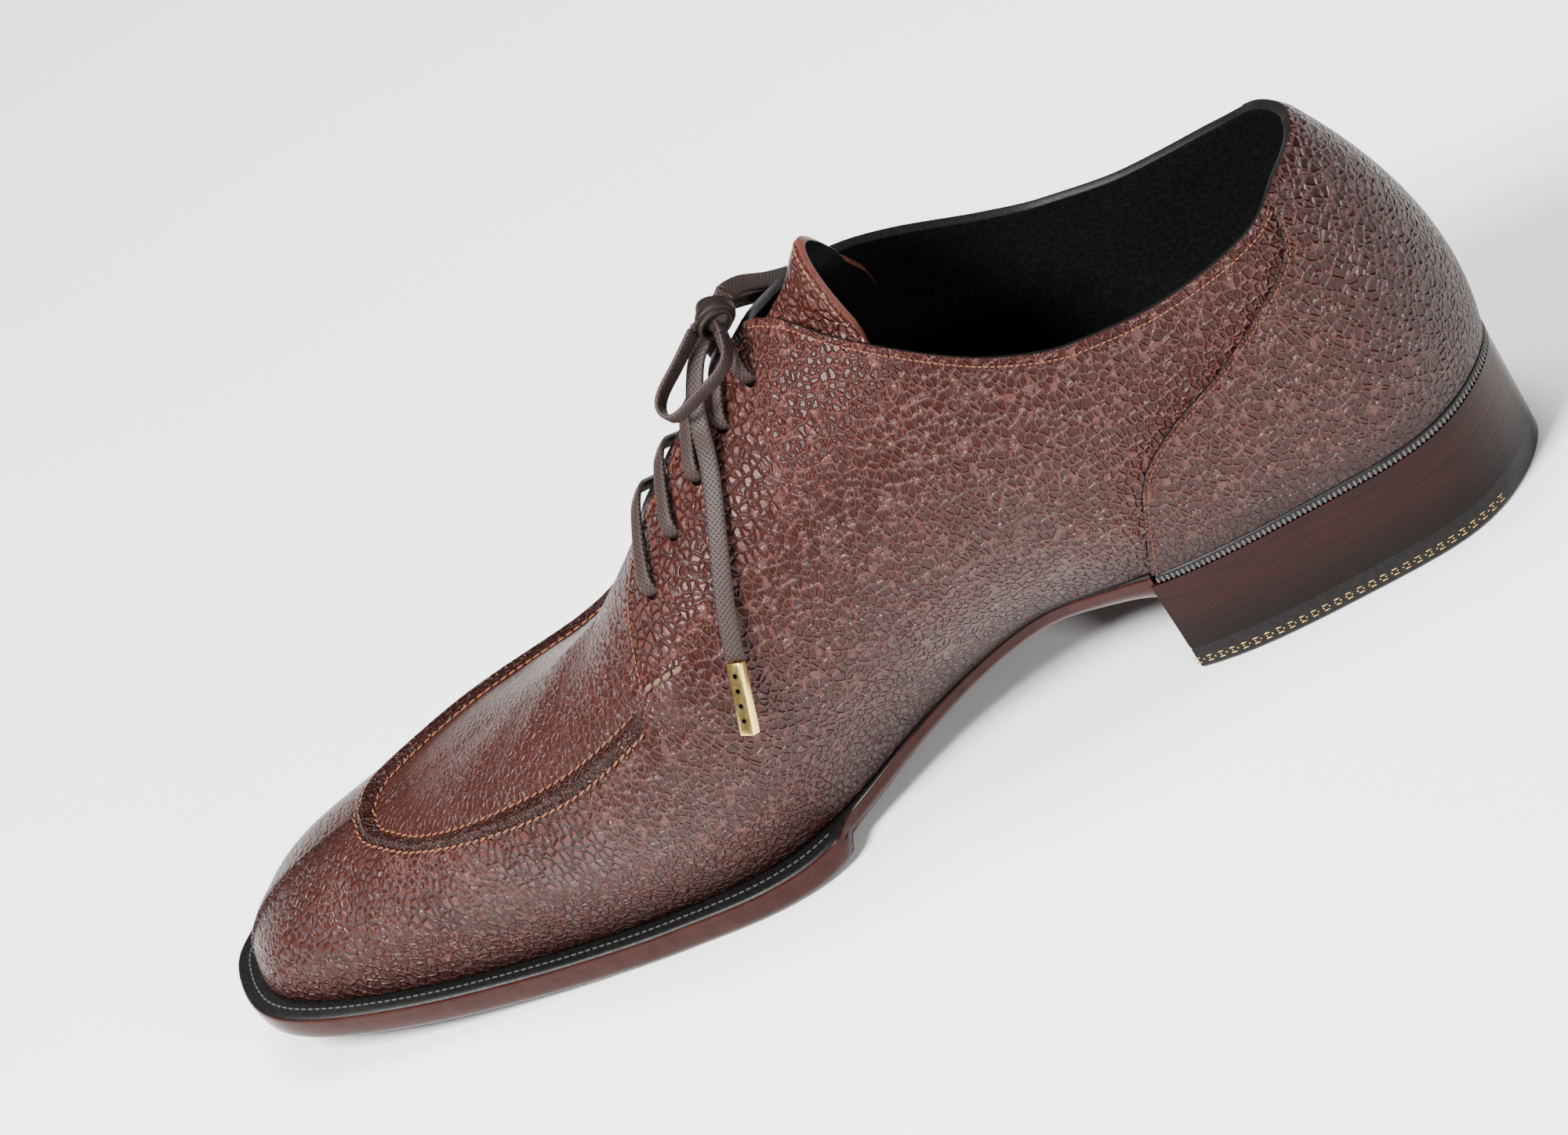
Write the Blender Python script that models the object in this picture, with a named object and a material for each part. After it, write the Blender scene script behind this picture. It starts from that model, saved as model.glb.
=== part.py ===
"""Split toe derby, right shoe: a dress shoe with a raised apron seam and five pairs of blind eyelets.

Frame: +X points to the toe, +Y to the inner (medial) side, +Z up. The origin is the middle of the heel's
resting face, on the floor. All lengths are in metres.
"""
from collections import namedtuple

import bpy
import bmesh
import numpy as np
from mathutils import Vector

# Sizes that are set by themselves
LENGTH = 0.302
BALL_WIDTH = 0.0975
INSTEP_HEIGHT = 0.100
HEEL_LIFT = 0.0218
TOE_SPRING = 0.0115
HEEL_LENGTH = 0.0785
HEEL_SKEW = 0.0060
BREAST_HOLLOW = 0.0040
TOP_PIECE_THICKNESS = 0.0060
SOLE_THICKNESS = 0.0045
WAIST_THINNING = 0.0012
WELT_THICKNESS = 0.0022
WELT_INNER_REACH = 0.0075
INSOLE_THICKNESS = 0.0035
WALL = 0.0020
PLUG_DEPTH = 0.0011
PLUG_UNDERLAP = 0.030
SEAM_HEIGHT = 0.0009
SEAM_SPREAD = 0.004
COUNTER_THICKNESS = 0.0010
TONGUE_THICKNESS = 0.0022
TONGUE_DEPTH = 0.0030
TONGUE_DROP = 0.0050
TONGUE_SINK = 0.0018
TONGUE_SHOULDER = 0.88
TONGUE_CLEAR = 0.015
TONGUE_UPRIGHT = 4.0
EYELET_RADIUS = 0.0016
LACE_WIDTH = 0.0042
LACE_THICKNESS = 0.0013
BAR_LIFT = 0.0009
CORD_DIAMETER = 0.0026
AGLET_RADIUS = 0.0021
AGLET_LENGTH = 0.0165
GAP = 0.0003
ORIGIN_ALONG = HEEL_LENGTH / 2

# One side of a section of the last. along is a share of LENGTH, out and reach are shares of BALL_WIDTH, rise
# is a share of INSTEP_HEIGHT, lean and tilt are degrees. The side leaves the sole leaning outwards by lean
# and meets the crest tilted down by tilt.
Side = namedtuple("Side", "along out lean rise tilt reach")
Section = namedtuple("Section", "name crest inner outer")
SECTIONS = [
    Section("heel_back", 0.166, Side(0.007, 0.000, 15, 0.36, 50, 0.615),
                                Side(0.007, 0.000, 15, 0.36, 50, 0.615)),
    Section("heel_bend", 0.172, Side(0.028, 0.159, 15, 0.36, 52, 0.585),
                                Side(0.028, 0.159, 15, 0.36, 52, 0.585)),
    Section("heel_turn", 0.185, Side(0.073, 0.256, 12, 0.35, 56, 0.533),
                                Side(0.073, 0.267, 12, 0.35, 56, 0.533)),
    Section("heel_side", 0.225, Side(0.152, 0.287, 12, 0.34, 60, 0.451),
                                Side(0.152, 0.308, 12, 0.34, 60, 0.451)),
    Section("breast", 0.298, Side(0.265, 0.277, 22, 0.38, 54, 0.410),
                             Side(0.258, 0.344, 14, 0.36, 56, 0.410)),
    Section("waist", 0.371, Side(0.364, 0.164, 44, 0.52, 40, 0.349),
                            Side(0.358, 0.379, 20, 0.44, 48, 0.390)),
    Section("arch", 0.454, Side(0.467, 0.190, 44, 0.54, 27, 0.287),
                           Side(0.450, 0.467, 14, 0.46, 40, 0.328)),
    Section("joint", 0.543, Side(0.563, 0.338, 30, 0.50, 15, 0.318),
                            Side(0.550, 0.533, 10, 0.38, 33, 0.369)),
    Section("ball", 0.626, Side(0.669, 0.354, 27, 0.44, 7, 0.369),
                           Side(0.662, 0.513, 10, 0.24, 31, 0.328)),
    Section("vamp", 0.699, Side(0.778, 0.313, 22, 0.34, 4, 0.338),
                           Side(0.772, 0.420, 4, 0.23, 18, 0.287)),
    Section("toe_side", 0.762, Side(0.874, 0.267, 14, 0.22, 7, 0.256),
                               Side(0.868, 0.318, 2, 0.19, 12, 0.246)),
    Section("toe_corner", 0.798, Side(0.950, 0.195, 4, 0.15, 11, 0.267),
                                 Side(0.947, 0.215, -2, 0.15, 11, 0.267)),
    Section("toe_front", 0.815, Side(0.977, 0.103, -4, 0.13, 10, 0.267),
                                Side(0.975, 0.092, -4, 0.13, 10, 0.267)),
    Section("toe_tip", 0.821, Side(0.983, -0.010, -5, 0.13, 10, 0.267),
                              Side(0.983, -0.010, -5, 0.13, 10, 0.267)),
]
LAST = len(SECTIONS) - 1
RING = 2 * LAST

# Height of the sole's underside, as shares of HEEL_LIFT and of TOE_SPRING, over shares of LENGTH
Underside = namedtuple("Underside", "along lift spring")
UNDERSIDE = [
    Underside(0.000, 1.000, 0.00),
    Underside(0.132, 0.985, 0.00),
    Underside(0.265, 0.945, 0.00),
    Underside(0.331, 0.830, 0.00),
    Underside(0.397, 0.585, 0.00),
    Underside(0.464, 0.300, 0.00),
    Underside(0.530, 0.090, 0.00),
    Underside(0.580, 0.015, 0.00),
    Underside(0.630, 0.000, 0.00),
    Underside(0.680, 0.000, 0.00),
    Underside(0.745, 0.000, 0.07),
    Underside(0.828, 0.000, 0.28),
    Underside(0.911, 0.000, 0.60),
    Underside(1.000, 0.000, 1.00),
]

# Crest of the instep: height over the underside as a share of INSTEP_HEIGHT, shift as a share of BALL_WIDTH
Crest = namedtuple("Crest", "along height shift")
CREST = [
    Crest(0.166, 1.280, 0.000),
    Crest(0.248, 1.203, 0.000),
    Crest(0.331, 1.095, 0.005),
    Crest(0.430, 0.985, 0.026),
    Crest(0.497, 0.910, 0.046),
    Crest(0.546, 0.828, 0.056),
    Crest(0.589, 0.723, 0.056),
    Crest(0.629, 0.630, 0.051),
    Crest(0.679, 0.560, 0.046),
    Crest(0.728, 0.505, 0.041),
    Crest(0.778, 0.453, 0.039),
    Crest(0.828, 0.396, 0.036),
]

# Edges of the upper as shares of the way from feather (0) to crest (1), over the section number. The collar
# ends at the facing's top corner, and the apron's two rows run from the throat to the toe.
Edge = namedtuple("Edge", "station inner outer")
COLLAR = [
    Edge(0.0, 0.575, 0.575),
    Edge(1.0, 0.558, 0.560),
    Edge(2.0, 0.513, 0.522),
    Edge(3.0, 0.487, 0.506),
    Edge(3.6, 0.512, 0.535),
    Edge(4.0, 0.563, 0.592),
    Edge(4.5, 0.663, 0.715),
    Edge(5.0, 0.800, 0.865),
    Edge(5.35, 0.925, 0.945),
    Edge(5.65, 0.986, 0.986),
    Edge(6.2, 0.982, 0.982),
    Edge(6.8, 0.970, 0.968),
    Edge(7.36, 0.945, 0.945),
]
APRON_OUTER_ROW = [
    Edge(7.36, 0.500, 0.556),
    Edge(8.0, 0.487, 0.563),
    Edge(8.6, 0.498, 0.573),
    Edge(9.0, 0.517, 0.581),
    Edge(9.5, 0.558, 0.600),
    Edge(10.3, 0.668, 0.665),
    Edge(11.2, 0.785, 0.775),
    Edge(12.0, 0.838, 0.838),
    Edge(13.0, 0.862, 0.862),
]
APRON_INNER_ROW = [
    Edge(7.36, 0.556, 0.612),
    Edge(8.0, 0.560, 0.628),
    Edge(8.6, 0.566, 0.636),
    Edge(9.0, 0.576, 0.648),
    Edge(9.5, 0.612, 0.668),
    Edge(10.3, 0.722, 0.742),
    Edge(11.2, 0.838, 0.838),
    Edge(12.0, 0.888, 0.888),
    Edge(13.0, 0.908, 0.908),
]
THROAT = 7.36
THROAT_ROUNDING = 0.45
THROAT_ROUNDING_START = 0.80

# Foremost section number of the counter over the share of its height
Seam = namedtuple("Seam", "share inner outer")
COUNTER_SEAM = [
    Seam(0.00, 4.00, 3.52),
    Seam(0.24, 3.88, 3.54),
    Seam(0.44, 3.72, 3.46),
    Seam(0.58, 3.42, 3.26),
    Seam(0.68, 3.00, 2.96),
    Seam(0.78, 2.48, 2.50),
    Seam(0.88, 1.80, 1.95),
    Seam(1.00, 1.45, 1.50),
]

# How far the sole stands out from the feather at its top edge, and how far its bottom edge is cut back, in
# shares of MARGIN and of BEVEL, over the section number
MARGIN = 0.0050
BEVEL = 0.0050
Rim = namedtuple("Rim", "station inner outer inner_cut outer_cut")
RIMS = [
    Rim(0.0, 0.16, 0.16, 0.04, 0.04),
    Rim(3.8, 0.16, 0.16, 0.06, 0.06),
    Rim(4.3, 0.02, 0.02, 0.60, 0.40),
    Rim(5.0, -0.06, 0.04, 1.00, 0.60),
    Rim(5.8, 0.00, 0.30, 1.00, 0.60),
    Rim(6.4, 0.16, 0.76, 0.90, 0.30),
    Rim(6.8, 0.70, 0.95, 0.40, 0.16),
    Rim(7.1, 1.16, 0.98, 0.14, 0.12),
    Rim(8.0, 0.96, 0.92, 0.12, 0.12),
    Rim(9.5, 0.92, 0.94, 0.12, 0.12),
    Rim(11.0, 1.00, 1.02, 0.12, 0.12),
    Rim(13.0, 1.10, 1.10, 0.12, 0.12),
]

# Eyelets from the top pair down: section number and share of the way up to the crest
Eyelet = namedtuple("Eyelet", "inner_station inner_share outer_station outer_share")
EYELETS = [
    Eyelet(5.66, 0.868, 5.42, 0.832),
    Eyelet(5.99, 0.850, 5.84, 0.822),
    Eyelet(6.34, 0.826, 6.26, 0.808),
    Eyelet(6.68, 0.794, 6.66, 0.790),
    Eyelet(7.00, 0.750, 7.02, 0.768),
]

# Tongue from its free top down: half width as a share of the way up to the crest, drop of the tongue's middle
# under the crest and sink of the whole row as shares of TONGUE_DROP and TONGUE_SINK. The less the middle drops,
# the more upright the arch leaves its shoulders.
TongueRow = namedtuple("TongueRow", "station half drop sink")
TONGUE_ROWS = [
    TongueRow(4.84, 0.310, 0.62, 0.00),
    TongueRow(4.90, 0.355, 0.62, 0.00),
    TongueRow(5.00, 0.385, 0.68, 0.00),
    TongueRow(5.14, 0.395, 0.88, 0.00),
    TongueRow(5.34, 0.390, 1.00, 0.00),
    TongueRow(5.65, 0.365, 1.00, 0.00),
    TongueRow(6.00, 0.335, 1.00, 0.00),
    TongueRow(6.40, 0.300, 1.00, 0.00),
    TongueRow(6.80, 0.280, 1.00, 0.00),
    TongueRow(7.20, 0.260, 1.00, 0.60),
    TongueRow(7.60, 0.250, 1.00, 0.80),
    TongueRow(7.90, 0.230, 1.00, 1.00),
]

# Routes of the bow's free lace, from the knot outwards, in metres
LACE_ROUTES = {
    "lace_loop_inner": [
        (0.0958, 0.0063, 0.1146),
        (0.0990, 0.0072, 0.1125),
        (0.1030, 0.0098, 0.1104),
        (0.1069, 0.0128, 0.1086),
        (0.1085, 0.0152, 0.1066),
        (0.1068, 0.0176, 0.1053),
        (0.1030, 0.0176, 0.1060),
        (0.0990, 0.0167, 0.1072),
        (0.0945, 0.0159, 0.1086),
        (0.0912, 0.0138, 0.1105),
        (0.0905, 0.0097, 0.1129),
    ],
    "lace_loop_outer": [
        (0.0884, 0.0000, 0.1152),
        (0.0858, -0.0043, 0.1128),
        (0.0823, -0.0097, 0.1074),
        (0.0762, -0.0206, 0.0982),
        (0.0661, -0.0318, 0.0846),
        (0.0614, -0.0359, 0.0763),
        (0.0616, -0.0376, 0.0723),
        (0.0658, -0.0366, 0.0751),
        (0.0740, -0.0294, 0.0869),
        (0.0802, -0.0199, 0.0969),
        (0.0857, -0.0116, 0.1053),
        (0.0884, -0.0049, 0.1108),
        (0.0897, -0.0012, 0.1129),
    ],
    "lace_end_inner": [
        (0.0957, 0.0045, 0.1104),
        (0.0985, 0.0066, 0.1089),
        (0.1008, 0.0092, 0.1062),
        (0.1026, 0.0118, 0.1032),
        (0.1038, 0.0155, 0.0996),
        (0.1049, 0.0177, 0.0955),
        (0.1065, 0.0213, 0.0907),
        (0.1083, 0.0249, 0.0866),
        (0.1113, 0.0298, 0.0800),
        (0.1145, 0.0342, 0.0729),
        (0.1167, 0.0375, 0.0670),
        (0.1184, 0.0401, 0.0619),
    ],
    "lace_end_outer": [
        (0.0946, 0.0010, 0.1106),
        (0.0962, -0.0030, 0.1080),
        (0.0980, -0.0062, 0.1040),
        (0.0995, -0.0100, 0.0985),
        (0.1004, -0.0138, 0.0925),
        (0.1015, -0.0192, 0.0855),
        (0.1032, -0.0250, 0.0787),
        (0.1050, -0.0311, 0.0721),
        (0.1068, -0.0366, 0.0657),
        (0.1086, -0.0410, 0.0596),
        (0.1104, -0.0443, 0.0545),
    ],
}
KNOT_MIDDLE = (0.0915, 0.0035, 0.1138)
KNOT_SIZE = (0.0040, 0.0042, 0.0033)

# Colours of the pieces: base colour, roughness and metallic value
Finish = namedtuple("Finish", "red green blue roughness metallic")
FINISHES = {
    "grain_leather": Finish(0.135, 0.042, 0.033, 0.38, 0.0),
    "black_leather": Finish(0.012, 0.011, 0.011, 0.45, 0.0),
    "sole_edge": Finish(0.060, 0.016, 0.010, 0.22, 0.0),
    "stacked_leather": Finish(0.045, 0.012, 0.008, 0.20, 0.0),
    "rubber": Finish(0.010, 0.010, 0.010, 0.55, 0.0),
    "waxed_lace": Finish(0.060, 0.045, 0.040, 0.60, 0.0),
    "brass": Finish(0.780, 0.600, 0.250, 0.25, 1.0),
}


def smooth(at, places, values):
    """Monotone cubic curve through a table, without overshoot."""
    places = np.asarray(places, float)
    values = np.asarray(values, float)
    step = np.diff(places)
    rate = np.diff(values) / step
    slope = np.zeros(len(places))
    slope[0] = rate[0]
    slope[-1] = rate[-1]
    for k in range(1, len(places) - 1):
        if rate[k - 1] * rate[k] > 0:
            before = 2 * step[k] + step[k - 1]
            after = step[k] + 2 * step[k - 1]
            slope[k] = (before + after) / (before / rate[k - 1] + after / rate[k])
    at = np.clip(at, places[0], places[-1])
    k = np.clip(np.searchsorted(places, at) - 1, 0, len(step) - 1)
    u = (at - places[k]) / step[k]
    start = (2 * u**3 - 3 * u**2 + 1) * values[k] + (u**3 - 2 * u**2 + u) * step[k] * slope[k]
    end = (3 * u**2 - 2 * u**3) * values[k + 1] + (u**3 - u**2) * step[k] * slope[k + 1]
    return start + end


def column(rows, name):
    """One named column of a table."""
    return [getattr(row, name) for row in rows]


def edge_share(rows, turn):
    """Read a table with an inner and an outer column at ring places turn."""
    station, is_inner = station_of(turn)
    inner = smooth(station, column(rows, "station"), column(rows, "inner"))
    outer = smooth(station, column(rows, "station"), column(rows, "outer"))
    return np.where(is_inner, inner, outer)


def station_of(turn):
    """Section number and side of places round the ring, which runs inner side first."""
    turn = np.asarray(turn, float) % RING
    is_inner = turn <= LAST
    return np.where(is_inner, turn, RING - turn), is_inner


def ring_places(side_sign, station):
    """Place round the ring of a section number on the inner (+1) or outer (-1) side."""
    return station if side_sign > 0 else RING - station


def ring_table():
    """The sections as rows round the ring: crest, along, out with its sign, lean, rise, tilt and reach."""
    rows = []
    for index in range(RING):
        section = SECTIONS[index] if index <= LAST else SECTIONS[RING - index]
        side = section.inner if index <= LAST else section.outer
        sign = 1 if index <= LAST else -1
        out = sign * side.out if index != LAST else -side.out
        rows.append([section.crest, side.along, out, side.lean, side.rise, side.tilt, side.reach])
    return np.array(rows)


def ring_bends(rows):
    """Second derivatives of the closed cubic spline through the ring's rows."""
    count = len(rows)
    matrix = np.zeros((count, count))
    for index in range(count):
        matrix[index, index] = 4
        matrix[index, (index + 1) % count] = 1
        matrix[index, (index - 1) % count] = 1
    pull = 6 * (np.roll(rows, -1, 0) - 2 * rows + np.roll(rows, 1, 0))
    return np.linalg.solve(matrix, pull)


RING_ROWS = ring_table()
RING_BENDS = ring_bends(RING_ROWS)


def ring_values(turn):
    """Section values at any place round the ring."""
    turn = np.asarray(turn, float) % RING
    low = np.floor(turn).astype(int) % RING
    high = (low + 1) % RING
    u = (turn - np.floor(turn))[..., None]
    bend = ((1 - u) ** 3 - (1 - u)) * RING_BENDS[low] + (u**3 - u) * RING_BENDS[high]
    return RING_ROWS[low] * (1 - u) + RING_ROWS[high] * u + bend / 6


def underside(along):
    """Height of the sole's underside at a share of LENGTH."""
    lift = smooth(along, column(UNDERSIDE, "along"), column(UNDERSIDE, "lift"))
    spring = smooth(along, column(UNDERSIDE, "along"), column(UNDERSIDE, "spring"))
    return HEEL_LIFT * lift + TOE_SPRING * spring


def sole_top(along):
    """Height of the outsole's upper face, thinner at the waist."""
    waist = np.clip(1 - np.abs(along - 0.41) / 0.14, 0, 1)
    return underside(along) + SOLE_THICKNESS - WAIST_THINNING * waist


def feather_height(along):
    """Height of the line where the upper meets welt and seat."""
    return sole_top(along) + WELT_THICKNESS + 2 * GAP


def last_surface(turn, share):
    """Point on the last at a place round the ring, a share of the way from feather to crest."""
    turn, share = np.broadcast_arrays(np.asarray(turn, float), np.asarray(share, float))
    crest, along, out, lean, rise, tilt, reach = np.moveaxis(ring_values(turn), -1, 0)
    lean = np.radians(lean)
    tilt = np.radians(tilt)
    foot = np.stack([along * LENGTH, out * BALL_WIDTH, feather_height(along)], -1)
    crest_height = smooth(crest, column(CREST, "along"), column(CREST, "height")) * INSTEP_HEIGHT
    crest_shift = smooth(crest, column(CREST, "along"), column(CREST, "shift")) * BALL_WIDTH
    top = np.stack([crest * LENGTH, crest_shift, underside(crest) + crest_height], -1)
    outward = foot[..., :2] - top[..., :2]
    outward = outward / np.linalg.norm(outward, axis=-1, keepdims=True)
    rise = rise * INSTEP_HEIGHT
    reach = reach * BALL_WIDTH
    lean_out = outward * (rise * np.sin(lean))[..., None]
    tilt_out = outward * (reach * np.cos(tilt))[..., None]
    lean_arm = np.concatenate([lean_out, (rise * np.cos(lean))[..., None]], -1)
    tilt_arm = np.concatenate([tilt_out, (-reach * np.sin(tilt))[..., None]], -1)
    v = share[..., None]
    point = (1 - v) ** 3 * foot + 3 * (1 - v) ** 2 * v * (foot + lean_arm)
    point = point + 3 * (1 - v) * v**2 * (top + tilt_arm) + v**3 * top
    return point - np.array([ORIGIN_ALONG, 0.0, 0.0])


def last_normal(turn, share):
    """Outward normal of the last. Along the crest both sides share one normal."""
    turn, share = np.broadcast_arrays(np.asarray(turn, float), np.asarray(share, float))

    def one_side(place):
        level = np.clip(share, 0.004, 0.985)
        round_step = last_surface(place + 0.01, level) - last_surface(place - 0.01, level)
        up_step = last_surface(place, level + 0.004) - last_surface(place, level - 0.004)
        normal = np.cross(up_step, round_step)
        return normal / np.linalg.norm(normal, axis=-1, keepdims=True)

    normal = one_side(turn)
    other = one_side(RING - turn)
    at_crest = (share > 0.999)[..., None]
    normal = np.where(at_crest, normal + other, normal)
    return normal / np.linalg.norm(normal, axis=-1, keepdims=True)


def offset_surface(turn, share, offset):
    """Point at a distance outside the last's surface."""
    offset = np.asarray(offset, float)
    return last_surface(turn, share) + last_normal(turn, share) * offset[..., None]


def new_collection(name):
    """A collection linked to the scene."""
    collection = bpy.data.collections.new(name)
    bpy.context.scene.collection.children.link(collection)
    return collection


def make_material(name):
    """A Principled material from the table of finishes."""
    finish = FINISHES[name]
    material = bpy.data.materials.new(name)
    material.use_nodes = True
    shader = material.node_tree.nodes["Principled BSDF"]
    shader.inputs["Base Color"].default_value = (finish.red, finish.green, finish.blue, 1.0)
    shader.inputs["Roughness"].default_value = finish.roughness
    shader.inputs["Metallic"].default_value = finish.metallic
    return material


def link_mesh(name, mesh, collection, material=None):
    """Make a mesh an object in a collection."""
    item = bpy.data.objects.new(name, mesh)
    collection.objects.link(item)
    if material:
        mesh.materials.append(material)
    return item


def closed_between(name, cells, sheets, collection, material=None):
    """Closed body between sheets that share one net of cells, with walls along the net's open edges.

    The first and the last sheet are faced with the cells, and the sheets between shape the walls.
    """
    outline = np.round(sheets[-1], 7)
    merged, vertex = np.unique(outline, axis=0, return_inverse=True)
    vertex = vertex.reshape(-1)
    count = len(merged)
    points = np.zeros((len(sheets), count, 3))
    for level, sheet in enumerate(sheets):
        points[level][vertex] = sheet
    faces = []
    for cell in cells:
        corners = []
        for index in cell:
            if not corners or vertex[index] != corners[-1]:
                corners.append(int(vertex[index]))
        if corners[0] == corners[-1]:
            corners.pop()
        if len(corners) > 2:
            faces.append(corners)
    directed = {(face[k - 1], face[k]) for face in faces for k in range(len(face))}
    rim = [edge for edge in directed if (edge[1], edge[0]) not in directed]
    shape = bmesh.new()
    corners = [[shape.verts.new(point) for point in level] for level in points]
    for face in faces:
        shape.faces.new([corners[-1][index] for index in face])
        shape.faces.new([corners[0][index] for index in reversed(face)])
    for low in range(len(sheets) - 1):
        for start, end in sorted(rim):
            near, far = corners[low], corners[low + 1]
            shape.faces.new([far[end], far[start], near[start], near[end]])
    loose = [vert for vert in shape.verts if not vert.link_faces]
    bmesh.ops.delete(shape, geom=loose, context="VERTS")
    bmesh.ops.recalc_face_normals(shape, faces=shape.faces)
    mesh = bpy.data.meshes.new(name)
    shape.to_mesh(mesh)
    shape.free()
    mesh.shade_smooth()
    mesh.set_sharp_from_angle(angle=np.radians(40))
    return link_mesh(name, mesh, collection, material)


def grid_cells(rows, columns, start=0, wrap=False):
    """Cells of a grid stored row by row."""
    cells = []
    for row in range(rows if wrap else rows - 1):
        after = (row + 1) % rows
        for k in range(columns - 1):
            cells.append([start + row * columns + k, start + after * columns + k,
                          start + after * columns + k + 1, start + row * columns + k + 1])
    return cells


def flat_points(grid):
    """A grid of points as one list."""
    return grid.reshape(-1, 3)


def throat_at(share):
    """Section number of the facing's front edge, rounded back towards the slot."""
    past = np.clip((share - THROAT_ROUNDING_START) / (1 - THROAT_ROUNDING_START), 0, None)
    return THROAT - THROAT_ROUNDING * past**2


QUARTER_STATIONS = np.array([0, 0.35, 0.7, 1, 1.35, 1.7, 2, 2.5, 3, 3.5, 4, 4.33, 4.66, 5, 5.2, 5.4, 5.65,
                             5.9, 6.2, 6.5, 6.8, 7.08, THROAT])
VAMP_STATIONS = np.array([7.65, 8, 8.35, 8.7, 9, 9.3, 9.6, 10, 10.3, 10.6, 11, 11.35, 11.7, 12, 12.5, 13])
WARP_START = 6.2
LOWER_ROWS = 8
UPPER_ROWS = 7
PLUG_ROWS = 6


def belt_share(station, is_inner):
    """The wall's upper edge on the vamp, carried back under the collar as a belt round the quarters."""
    apron_inner = smooth(station, column(APRON_OUTER_ROW, "station"), column(APRON_OUTER_ROW, "inner"))
    apron_outer = smooth(station, column(APRON_OUTER_ROW, "station"), column(APRON_OUTER_ROW, "outer"))
    collar_inner = smooth(station, column(COLLAR, "station"), column(COLLAR, "inner"))
    collar_outer = smooth(station, column(COLLAR, "station"), column(COLLAR, "outer"))
    at_throat = np.where(is_inner, APRON_OUTER_ROW[0].inner, APRON_OUTER_ROW[0].outer)
    collar = np.where(is_inner, collar_inner, collar_outer)
    blend = smooth(station, [0, 3, THROAT], [0, 0.2, 1])
    belt = at_throat * blend + 0.55 * collar * (1 - blend)
    return np.where(station >= THROAT, np.where(is_inner, apron_inner, apron_outer), belt)


def seam_middle(turn):
    """Share of the middle of the apron seam."""
    return (edge_share(APRON_OUTER_ROW, turn) + edge_share(APRON_INNER_ROW, turn)) / 2


def warped(side_sign, station, share):
    """Ring place whose columns bend to follow the facing's front edge."""
    front = throat_at(share)
    before = WARP_START + (station - WARP_START) * (front - WARP_START) / (THROAT - WARP_START)
    bent = np.where(station > WARP_START, before, station)
    return ring_places(side_sign, bent)


def build_wall(collection):
    """Vamp wall and quarters, from the feather to the apron seam and the collar, as one closed body."""
    stations = np.concatenate([QUARTER_STATIONS, VAMP_STATIONS])
    turns = np.concatenate([stations, RING - stations[-2:0:-1]])
    station, is_inner = station_of(turns)
    belt = belt_share(station, is_inner)
    shares = belt[:, None] * np.linspace(0, 1, LOWER_ROWS)[None, :]
    places = np.repeat(turns[:, None], LOWER_ROWS, axis=1)
    cells = grid_cells(len(turns), LOWER_ROWS, wrap=True)
    all_places = [places.reshape(-1)]
    all_shares = [shares.reshape(-1)]
    start = places.size
    for sign in (1, -1):
        turn = ring_places(sign, QUARTER_STATIONS)
        low = belt_share(QUARTER_STATIONS, np.full(len(QUARTER_STATIONS), sign > 0))
        high = edge_share(COLLAR, turn)
        steps = np.linspace(0, 1, UPPER_ROWS)[None, :]
        share = low[:, None] * (1 - steps) + high[:, None] * steps
        place = warped(sign, np.repeat(QUARTER_STATIONS[:, None], UPPER_ROWS, axis=1), share)
        place[:, 0] = turn
        band = grid_cells(len(QUARTER_STATIONS), UPPER_ROWS, start)
        cells += band if sign > 0 else [cell[::-1] for cell in band]
        all_places.append(place.reshape(-1))
        all_shares.append(share.reshape(-1))
        start += place.size
    turn = np.concatenate(all_places) % RING
    share = np.concatenate(all_shares)
    outer = offset_surface(turn, share, np.zeros(len(turn)))
    inner = offset_surface(turn, share, np.full(len(turn), -WALL))
    return closed_between("upper", cells, [inner, outer], collection)


def build_plug(collection):
    """Sunken apron plug, from under the apron seam and under the facings to the crest."""
    middle = (THROAT + VAMP_STATIONS[0]) / 2
    stations = np.concatenate([[6.95, 7.2, middle], VAMP_STATIONS])
    turns = np.concatenate([stations, RING - stations[-2::-1]])
    low = seam_middle(turns) - PLUG_UNDERLAP
    steps = np.linspace(0, 1, PLUG_ROWS)[None, :]
    share = low[:, None] * (1 - steps) + steps
    place = np.repeat(turns[:, None], PLUG_ROWS, axis=1)
    cells = grid_cells(len(turns), PLUG_ROWS)
    outer = offset_surface(place, share, np.full(place.shape, -PLUG_DEPTH))
    inner = offset_surface(place, share, np.full(place.shape, -PLUG_DEPTH - WALL))
    return closed_between("plug", cells, [flat_points(inner), flat_points(outer)], collection)


def build_apron_seam(collection):
    """Raised seam round the apron, between its two rows of stitches."""
    stations = np.concatenate([[THROAT + 0.04], VAMP_STATIONS])
    turns = np.concatenate([stations, RING - stations[-2::-1]])
    low = edge_share(APRON_OUTER_ROW, turns) - SEAM_SPREAD
    high = edge_share(APRON_INNER_ROW, turns) + SEAM_SPREAD
    steps = np.array([0.0, 0.25, 0.75, 1.0])[None, :]
    share = low[:, None] * (1 - steps) + high[:, None] * steps
    place = np.repeat(turns[:, None], 4, axis=1)
    lift = np.repeat(np.array([[0.15, 1.0, 1.0, -0.6]]) * SEAM_HEIGHT, len(turns), axis=0)
    cells = grid_cells(len(turns), 4)
    outer = offset_surface(place, share, lift)
    inner = offset_surface(place, share, np.full(place.shape, -0.75 * WALL))
    return closed_between("apron_seam", cells, [flat_points(inner), flat_points(outer)], collection)


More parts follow.
